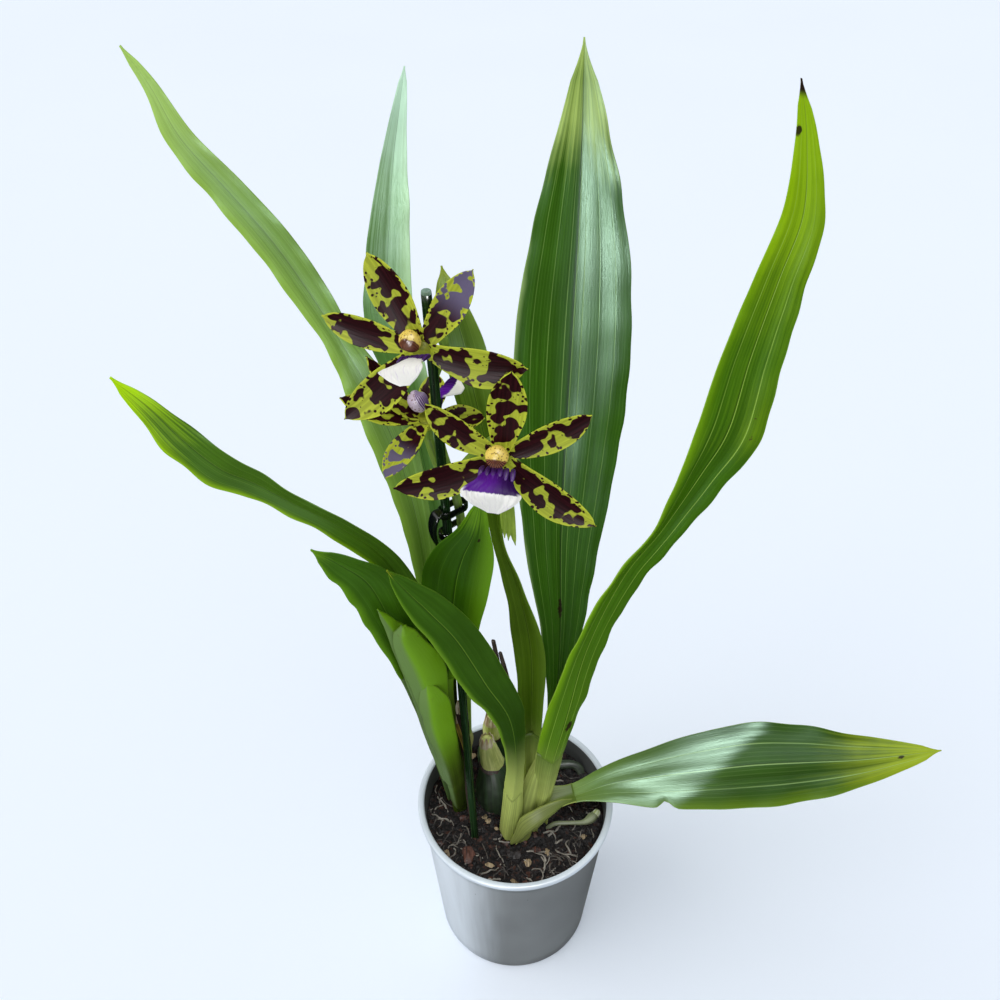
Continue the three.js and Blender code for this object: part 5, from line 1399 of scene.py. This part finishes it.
class ORCHID_OT_pot(bpy.types.Operator):
    """Turns the pot, with its pale rim and its drain holes."""

    bl_idname = "orchid.pot"
    bl_label = "Pot"

    def execute(self, context):
        """Builds the pot."""
        colours = context.scene.orchid_colours
        rim_foot = POT_HEIGHT - POT_RIM_DEPTH
        inner = POT_RIM_RADIUS - POT_RIM_WIDTH
        body = inner_radius(rim_foot) + POT_WALL
        foot = POT_FOOT_RADIUS
        shares = np.linspace(0, 1, 14)
        outer = [(foot + (body - foot) * s, FOOT_ROUND + (rim_foot - FOOT_ROUND) * s) for s in shares]
        # from the axis over the underside, the foot ring, the wall, the rolled rim and back down inside
        profile = [
            (AXIS, 0), (POT_CENTRE_FOOT, 0), (POT_CENTRE_FOOT + 0.6, POT_FLOOR_LIFT),
            (foot - 6, POT_FLOOR_LIFT),
            (foot - 5.4, 0), (foot - 0.8, 0), (foot - 0.25, 0.25), *outer, (body + 0.5, rim_foot + 0.15),
            (POT_RIM_RADIUS - 0.45, rim_foot + 0.3), (POT_RIM_RADIUS - 0.1, rim_foot + 0.7),
            (POT_RIM_RADIUS, POT_HEIGHT - 1.1), (POT_RIM_RADIUS - 0.15, POT_HEIGHT - 0.45),
            (POT_RIM_RADIUS - 0.55, POT_HEIGHT - 0.1), (POT_RIM_RADIUS - 1, POT_HEIGHT),
            (inner + 0.9, POT_HEIGHT - 0.05), (inner + 0.4, POT_HEIGHT - 0.3),
            (inner + 0.1, POT_HEIGHT - 0.9),
            *[(inner_radius(z), z) for z in (86, 83, 80, 60, 35, POT_FLOOR_TOP)], (AXIS, POT_FLOOR_TOP),
            (AXIS, 0),
        ]
        heights = np.array([z for _, z in profile])
        middle = (heights[1:] + heights[:-1]) / 2
        index = np.arange(len(middle))
        top = int(np.argmax(heights))
        slots = np.where((middle > rim_foot) & (index < top + 3), 1, np.where(index > top, 2, 0))
        shape = Shape()
        lathe(shape, profile, 160, slots)
        dust = hex_colour("2c2f30")
        materials = [
            # the grey plastic carries a painted highlight on the window side
            plastic_material("Satin grey pot plastic", colours.pot, 0.34, dust, 0.2, colours.painted_lit_side),
            # the rim's plastic is paler than the wall
            plastic_material("Pale pot rim", colours.rim, 0.4, satin=0.1),
            plastic_material("Shaded inner pot wall", shaded(colours.pot, 0.3), 0.5),
        ]
        pot = shape.finish("pot", materials, ["pot"])
        cutters = []
        for i in range(DRAIN_COUNT):
            x, y = on_circle(DRAIN_CIRCLE, 2 * math.pi / DRAIN_COUNT * i)
            tool = Shape()
            ends = [[x, y, z, DRAIN_RADIUS] for z in (-2, POT_FLOOR_TOP + 4)]
            stem(tool, ends, sides=32, steps=1, closing=False)
            mesh = bpy.data.meshes.new("cutter")
            mesh.from_pydata((np.vstack(tool.points) * MM).tolist(), [], tool.faces)
            cutter = bpy.data.objects.new("cutter", mesh)
            context.scene.collection.objects.link(cutter)
            cutters.append(cutter)
        cut(pot, cutters)
        return {"FINISHED"}


class ORCHID_OT_soil(bpy.types.Operator):
    """Fills the pot with coir mix, loose grains, bark and curled fibres."""

    bl_idname = "orchid.soil"
    bl_label = "Potting mix"

    def execute(self, context):
        """Builds the mix and what lies on it, with one run of random draws."""
        colours, sizes = context.scene.orchid_colours, context.scene.orchid_sizes
        rng = np.random.default_rng(7)
        sides = 220
        angle = np.linspace(0, 2 * math.pi, sides, endpoint=False)
        top = inner_radius(SOIL_LEVEL) - GAP
        bottom = inner_radius(POT_FLOOR_TOP) - GAP
        radii = np.concatenate([[AXIS, bottom], np.linspace(top, 0.2, 70)])
        x, y = radii[:, None] * np.cos(angle), radii[:, None] * np.sin(angle)
        flat = np.stack([x, y], -1)
        z = soil_height(x, y) + 0.35 * wobble(flat, 5, 3) + 0.3 * wobble(flat, 1.9, 4)
        z[:2] = POT_FLOOR_TOP + GAP
        order = np.append(np.arange(sides), 0)
        shape = Shape()
        shape.rings(np.stack([x, y, z], -1), flat[:, order] / 90 + 0.5, flat[:, order])
        coir = coir_material("Dark coir potting mix", colours.soil, hex_colour("5a301c"))
        shape.finish("potting_mix", [coir], ["soil"], smooth=False)

        loose = Shape()
        for _ in range(sizes.grains):
            x, y = on_circle(GRAIN_REACH * math.sqrt(rng.uniform()), rng.uniform(0, 2 * math.pi))
            size = rng.uniform(0.35, 0.95)
            grain(loose, rng, (x, y, soil_height(x, y) + size * 0.3), size)
        loose.finish("loose_grains", [coir], smooth=False)

        bits = Shape()
        for _ in range(CHIP_COUNT):
            x, y = on_circle(CHIP_REACH * math.sqrt(rng.uniform()), rng.uniform(0, 2 * math.pi))
            slot = int(rng.integers(0, len(CHIPS)))
            grain(bits, rng, (x, y, soil_height(x, y) + 0.5), rng.uniform(0.9, 2.2), slot, 0.45, 0.35)
        grain(bits, rng, LARGE_CHIP_PLACE, LARGE_CHIP_SIZE, 0, 0.4, 0.3)
        bark = [
            stalk_material(name, hex_colour(ground), hex_colour(dark), 0.6, wide)
            for name, ground, dark, wide in CHIPS
        ]
        bits.finish("bark_chips", bark, smooth=False)

        threads = Shape()
        for i in range(sizes.fibres):
            # two in three lie where the mix is open, near the wall at the front and sides
            if i % 3:
                turn = rng.uniform(math.radians(150), math.radians(345))
                reach = rng.uniform(28, 39)
            else:
                turn, reach = rng.uniform(0, 2 * math.pi), 38 * math.sqrt(rng.uniform())
            pale = rng.uniform() < 0.4
            length = rng.uniform(3, 12)
            radius = rng.uniform(0.25, 0.6) if pale else rng.uniform(0.15, 0.4)
            fibre(threads, rng, *on_circle(reach, turn), length, radius, 0 if pale else 1)
        strands = [
            stalk_material("Pale dry root fibre", hex_colour("b5ada0"), hex_colour("5c5348"), 0.55, 0.667),
            stalk_material("Brown root fibre", hex_colour("5f564c"), hex_colour("2c2420"), 0.6, 0.667),
        ]
        threads.finish("root_fibres", strands)
        return {"FINISHED"}


class ORCHID_OT_leaves(bpy.types.Operator):
    """Grows the ten long strap leaves."""

    bl_idname = "orchid.leaves"
    bl_label = "Leaves"

    def execute(self, context):
        """Builds each blade as a piece of its own."""
        colours, sizes = context.scene.orchid_colours, context.scene.orchid_sizes
        for seed, (name, leaf) in enumerate(LEAVES.items()):
            shape = Shape()
            # the blade starts a little inside its sheath
            start = leaf["sheath"] - 0.04
            span = len(leaf["rows"]) - 1 - start
            blade(
                shape, leaf["rows"], start, rings=int(14 * span), columns=33, root=1.2,
                pleat=pleated(leaf["folds"], leaf["pleat"]) if "folds" in leaf else None,
                wave=sizes.edge_wave / MM, seed=seed + 20, slots=(0, 1), bite=NICKS.get(name),
            )
            base = colours.sheath if name.startswith("right") else colours.young
            label = name.replace("_", " ")
            materials = [
                leaf_material(f"{part} of {label}", LEAF_LOOKS[name], base, part != "Face")
                for part in ("Face", "Underside")
            ]
            if name == "right_leaf_centre":
                for torn, rows in enumerate(TORN_EDGE):
                    blade(
                        shape, rows, rings=24, columns=9, thickness=0.5, wave=0.5, seed=torn + 5,
                        slots=(2, 2),
                    )
                fresh, old = hex_colour("b2cc48"), hex_colour("86a234")
                materials.append(stalk_material("Torn yellow-green margin", fresh, old))
            shape.finish(name + "_blade", materials, [name])
        return {"FINISHED"}


class ORCHID_OT_shoots(bpy.types.Operator):
    """Wraps the two shoots in their leaf bases and bracts."""

    bl_idname = "orchid.shoots"
    bl_label = "Shoots"

    def execute(self, context):
        """Builds both shoots."""
        colours = context.scene.orchid_colours
        older = hex_colour("3e6208")
        skins = {
            "right": [
                sheath_material("Pale sheath skin", colours.sheath, older),
                sheath_material("Pale sheath inside", shaded(colours.sheath, 0.7), older),
                sheath_material("Low leaf's sheath skin", shaded(colours.sheath, 0.5), older),
            ],
            "left": [
                sheath_material("Young sheath skin", colours.young, colours.bract, hex_colour("6a844e")),
                sheath_material("Young sheath inside", shaded(colours.young, 0.7), colours.bract),
            ],
        }
        # each side: its stem, its bracts, their outer material and where their length in mm starts
        sides = {"right": (RIGHT_CORE, RIGHT_BRACTS, 2, -8), "left": (LEFT_CORE, LEFT_BRACTS, 0, 46)}
        for side, (core, bracts, outer, reach) in sides.items():
            shape = Shape()
            stem(
                shape, core, sides=40, steps=10, bulge=lambda a, t: 1 + 0.03 * np.cos(3 * a + t), offset=-200,
            )
            for seed, (name, leaf) in enumerate(LEAVES.items()):
                if name.startswith(side):
                    blade(
                        shape, leaf["rows"], 0, leaf["sheath"], rings=50, columns=29,
                        thickness=SHEATH_THICKNESS, wave=0.25, crease=0.35, seed=seed + 40, slots=(0, 1),
                        closing=False, offset=-28 if "collar" in LEAF_LOOKS[name] else 0.01,
                    )
            for seed, rows in enumerate(bracts):
                blade(
                    shape, rows, rings=90, columns=29, root=2.4, wave=0.4, crease=0.25, seed=seed + 60,
                    slots=(outer, 1), offset=reach,
                )
            shape.finish(f"{side}_shoot_bases", skins[side], [f"{side}_shoot"])
        return {"FINISHED"}


class ORCHID_OT_blooms(bpy.types.Operator):
    """Opens the three blooms."""

    bl_idname = "orchid.blooms"
    bl_label = "Blooms"

    def execute(self, context):
        """Builds each bloom's tepals, lip and column."""
        colours, sizes = context.scene.orchid_colours, context.scene.orchid_sizes
        look = (colours.tepal, colours.blotch, sizes.blotch_size)
        tepals = [
            tepal_material("Blotched tepal face", *look),
            tepal_material("Paler tepal back", *look, under=True),
            # the third face paints the sky's lilac reflection on its blotches
            tepal_material("Tepal face with painted lilac reflection", *look, tip=hex_colour("6f6580")),
        ]
        callus = stalk_material("Violet callus ridges", colours.lip_violet, hex_colour("2a0d2c"), 0.4, 0.5)
        columns = [column_material("Yellow anther cap and striped throat", colours.column)]
        pale = [column_material("Lilac column back", hex_colour("cdb8cc"), "5a2470", "d8c8dc")]
        for name, bloom in BLOOMS.items():
            bloom_tepals(name, bloom, tepals, sizes.tepal_curl / MM)
            start = WHITE_FROM[name]
            lip = lip_material(f"Violet and white {name} lip", colours.lip_violet, colours.lip_white, start)
            bloom_lip(name, bloom, [lip, callus])
            bloom_column(name, bloom, pale if name == "rear" else columns)
        return {"FINISHED"}


class ORCHID_OT_spike(bpy.types.Operator):
    """Raises the flower spike with its pedicels and bracts."""

    bl_idname = "orchid.spike"
    bl_label = "Spike"

    def execute(self, context):
        """Builds the spike."""
        colours = context.scene.orchid_colours
        shape = Shape()
        stem(shape, SPIKE_AXIS, steps=14, sides=24)
        for name, rows in PEDICELS.items():
            ovary = [[*place(BLOOMS[name], forward, 0), r] for forward, r in ((-11.5, 1.7), (-4.5, 1.5))]
            stem(shape, rows + ovary, steps=12, sides=20, bulge=lambda a, t: 1 + 0.06 * np.cos(3 * a))
        axis = np.array(SPIKE_AXIS)
        for turn, z in enumerate(SPIKE_NODES):
            x, y = (np.interp(z, axis[:, 2], axis[:, c]) for c in (0, 1))
            collar = [[x, y, z + dz, r] for dz, r in ((0, 1.9), (3, 2.5), (7, 2.7), (12, 1.8))]
            stem(shape, collar, sides=28, slot=1)
            heading = 80 * turn - 30
            rows = [
                [*(np.array([x, y, z + dz]) + faced(heading) * out), half, heading, 0, -30]
                for dz, out, half in ((3, 1.9, 2), (8, 2.3, 2), (12, 2.3, 1.2), (15, 2.5, 0.3))
            ]
            blade(shape, rows, rings=30, columns=13, thickness=0.5, slots=(1, 1))
        materials = [
            stalk_material("Fresh flower stem", colours.spike, shaded(colours.spike, 0.6), 0.42, 1),
            stalk_material("Papery spike bract", hex_colour("a8a464"), hex_colour("6c7a34"), 0.5, 0.833),
        ]
        shape.finish("spike_stem", materials, ["spike"])
        return {"FINISHED"}


class ORCHID_OT_cane(bpy.types.Operator):
    """Stands the coated cane behind the spike."""

    bl_idname = "orchid.cane"
    bl_label = "Cane"

    def execute(self, context):
        """Builds the cane and its pale cut end."""
        foot, top = np.array(STAKE_FOOT, float), np.array(STAKE_TOP, float)
        way = (top - foot) / (top[2] - foot[2])
        shape = Shape()
        rows = [
            [*(foot + way * (z - foot[2])), STAKE_RADIUS - 0.04 + 0.04 * math.sin(z * 0.37)]
            for z in np.linspace(STAKE_END, top[2] - 1.4, 46)
        ]
        stem(shape, rows, steps=2, sides=32, closing=False)
        cap = [[*(top - way * down), r] for down, r in ((1.6, 1.6), (0.8, 1.62), (0.1, 1.3), (0, 0.2))]
        stem(shape, cap, steps=4, sides=32, slot=1, closing=False)
        materials = [
            cane_material("Green plastic-coated cane", context.scene.orchid_colours.cane),
            stalk_material("Worn cane end", hex_colour("9cb8a6"), hex_colour("5c7a6a"), 0.5, 0.5),
        ]
        shape.finish("cane", materials, ["stake"])
        return {"FINISHED"}


class ORCHID_OT_clip(bpy.types.Operator):
    """Clips the spike to the cane."""

    bl_idname = "orchid.clip"
    bl_label = "Clip"

    def execute(self, context):
        """Builds the jaws, the spine and the finger tab."""
        shape = Shape()
        # a jaw is a loop of two half rounds, swept by a section with rounded corners
        bend = np.radians(np.linspace(-90, 90, 19))
        end = np.stack([np.cos(bend), np.sin(bend)], 1) * JAW_RADIUS
        path = np.vstack([-end, end + (JAW_SPAN, 0)])
        ahead = np.roll(path, -1, 0) - np.roll(path, 1, 0)
        out = unit(np.stack([ahead[:, 1], -ahead[:, 0]], 1))
        angle = np.linspace(0, 2 * math.pi, 12, endpoint=False)
        grow, lift = (
            size / 2 * np.sign(wave) * np.abs(wave) ** 0.6
            for size, wave in ((JAW_WALL, np.cos(angle)), (JAW_HEIGHT, np.sin(angle)))
        )
        c, s = math.cos(math.radians(JAW_TURN)), math.sin(math.radians(JAW_TURN))
        plan = path[:, None] + out[:, None] * grow[None, :, None]
        plan = plan @ np.array([[c, s], [-s, c]]) + JAW_PLACE
        _, _, quads = faces_between(*plan.shape[:2], looped=True)
        for level in JAW_LEVELS:
            rise = np.broadcast_to(level + lift, plan.shape[:2])
            points = np.concatenate([plan, rise[..., None]], -1).reshape(-1, 3)
            if signed_volume(points, quads) < 0:
                quads = quads[:, ::-1]
            uv = points[quads][..., [0, 2]]
            shape.body(points, quads, uv / 20, uv, 0)
        stem(shape, CLIP_SPINE, sides=16)
        blade(
            shape, CLIP_TAB, rings=40, columns=15, thickness=1.4, margin=0.5, curl=-0.3, closing=False,
        )
        black = context.scene.orchid_colours.clip
        clip = plastic_material("Glossy black clip plastic", black, 0.16, satin=0.5)
        shape.finish("clip_jaws", [clip], ["clip"])
        return {"FINISHED"}


class ORCHID_OT_old_growth(bpy.types.Operator):
    """Sets the old bulbs, the husk and the dried stalks in the mix."""

    bl_idname = "orchid.old_growth"
    bl_label = "Old growths"

    def execute(self, context):
        """Builds the two bulbs, the husk and the stalks."""
        colours = context.scene.orchid_colours
        skin = stalk_material("Ribbed bulb skin", colours.bulb, shaded(colours.bulb, 0.45), 0.4, 2)
        stub = stalk_material("Cut green stub", hex_colour("d6da84"), hex_colour("a6b05a"), 0.5, 2)
        cream, tan = hex_colour("f0e6c4"), hex_colour("a4845a")
        papery = stalk_material("Torn cream paper sheath", cream, tan, 0.6, 0.833)
        dry = stalk_material("Dried brown sheath", colours.husk, shaded(colours.husk, 0.4), 0.6, 1)
        ochre, brown = hex_colour("c0aa38"), hex_colour("6a4a18")
        aged = stalk_material("Yellowed sheath strip", ochre, brown, 0.5, 0.833)

        def ribs(a, t):
            return 1 + 0.045 * np.abs(np.sin(4 * a + 0.5 * t)) - 0.02

        for name, rows in (("old_bulb", OLD_BULB), ("back_bulb", BACK_BULB)):
            shape = Shape()
            stem(shape, rows[: BULB_NECK + 1], steps=10, sides=48, bulge=ribs)
            stem(
                shape, rows[BULB_NECK:], steps=8, sides=36, slot=1,
                bulge=lambda a, t: 1 + 0.015 * np.sin(5 * a + t),
            )
            x, y, z, r = rows[BULB_NECK]
            scar = [[x, y, z + dz, r * share] for dz, share in ((-1.4, 1.02), (-0.4, 1.07), (0.6, 1.01))]
            stem(shape, scar, sides=36, slot=3)
            x, y, z, r = rows[-1]
            rng = np.random.default_rng(len(name))
            for i in range(9):
                heading = i * 40 + rng.uniform(-9, 9)
                tall = rng.uniform(1.5, 5)
                levels = ((-2.6, 0.4, 1.2), (-0.8, 0.5, 1.3), (tall * 0.5, 0.2, 0.8), (tall, 0.1, 0.2))
                torn = [
                    [*(np.array([x, y, z + dz]) + faced(heading) * (r * 0.8 + out)), half, heading, 0, -20]
                    for dz, out, half in levels
                ]
                blade(shape, torn, rings=16, columns=7, thickness=0.4, wave=0.3, seed=i, slots=(2, 2))
            shape.finish(name + "_body", [skin, stub, papery, dry], [name])

        shape = Shape()
        blade(shape, HUSK, rings=60, columns=15, thickness=0.6, wave=1.2, seed=3, slots=(0, 1))
        strip = [
            [x + 0.6, y - 0.9, z + 3, half * 0.45, heading + 40, rise, fold]
            for x, y, z, half, heading, rise, fold in HUSK
        ]
        blade(shape, strip, rings=40, columns=9, thickness=0.5, wave=1.2, seed=8, slots=(1, 0))
        for seed, (slot, rows) in enumerate(HUSK_SHREDS):
            blade(
                shape, rows, rings=30, columns=9, thickness=0.5, wave=0.7, seed=seed + 12, slots=(slot, slot),
            )
        shape.finish("husk_strips", [dry, aged, papery], ["husk"])

        shape = Shape()
        for seed, rows in enumerate(STALKS):
            stem(
                shape, rows, steps=14, sides=18,
                bulge=lambda a, t, s=seed: 1 + 0.1 * np.sin(3 * a + 2 * t + s),
            )
        shape.finish("dried_stalk_stems", [dry], ["dried_stalks"])
        return {"FINISHED"}


class ORCHID_OT_roots(bpy.types.Operator):
    """Lays the two thick aerial roots over the mix."""

    bl_idname = "orchid.roots"
    bl_label = "Roots"

    def execute(self, context):
        """Builds both roots."""
        colours = context.scene.orchid_colours
        pale = stalk_material("Silvery root skin", colours.root, shaded(colours.root, 0.55), 0.5, 1.25)
        tip = stalk_material("Growing root tip", hex_colour("eef0dc"), hex_colour("a9b45a"), 0.4, 1.25)
        dark = stalk_material("Damp green root skin", hex_colour("4d5a44"), hex_colour("232b22"), 0.4, 1.25)
        shape = Shape()
        stem(shape, FRONT_ROOT, steps=12, sides=24, bulge=lambda a, t: 1 + 0.04 * np.sin(2 * a + 3 * t))
        x, y, z, _ = FRONT_ROOT[-1]
        end = [[x - 1.2, y - 1.6, z - 0.5, 1.9], [x - 0.3, y - 0.5, z - 0.1, 1.7], [x, y, z, 1.35]]
        stem(shape, end, sides=24, slot=1)
        shape.finish("front_root_skin", [pale, tip], ["front_root"])
        shape = Shape()
        stem(shape, BACK_ROOT, steps=12, sides=24, bulge=lambda a, t: 1 + 0.05 * np.sin(2 * a + 2 * t))
        shape.finish("back_root_skin", [dark], ["back_root"])
        return {"FINISHED"}


# ---------------------------------------------------------------- panel and registration

OPERATORS = (
    ORCHID_OT_stage, ORCHID_OT_pot, ORCHID_OT_soil, ORCHID_OT_leaves, ORCHID_OT_shoots,
    ORCHID_OT_blooms, ORCHID_OT_spike, ORCHID_OT_cane, ORCHID_OT_clip, ORCHID_OT_old_growth,
    ORCHID_OT_roots,
)


class ORCHID_PT_panel(bpy.types.Panel):
    """Lists the settings and the pieces."""

    bl_idname = "ORCHID_PT_panel"
    bl_label = "Potted orchid"
    bl_space_type = "VIEW_3D"
    bl_region_type = "UI"
    bl_category = "Orchid"

    def draw(self, context):
        """Draws the panel."""
        for group in (context.scene.orchid_sizes, context.scene.orchid_colours):
            box = self.layout.box()
            for name in group.bl_rna.properties.keys():
                if name not in {"rna_type", "name"}:
                    box.prop(group, name)
        for operator in OPERATORS:
            self.layout.operator(operator.bl_idname)


CLASSES = (OrchidColours, OrchidSizes, *OPERATORS, ORCHID_PT_panel)


def register():
    """Registers the classes and their settings."""
    for kind in CLASSES:
        bpy.utils.register_class(kind)
    bpy.types.Scene.orchid_colours = PointerProperty(type=OrchidColours)
    bpy.types.Scene.orchid_sizes = PointerProperty(type=OrchidSizes)


def unregister():
    """Takes the classes and their settings away."""
    del bpy.types.Scene.orchid_colours
    del bpy.types.Scene.orchid_sizes
    for kind in reversed(CLASSES):
        bpy.utils.unregister_class(kind)


def main():
    """Builds every piece in order."""
    register()
    for operator in OPERATORS:
        group, name = operator.bl_idname.split(".")
        getattr(getattr(bpy.ops, group), name)()


if __name__ == "__main__":
    main()
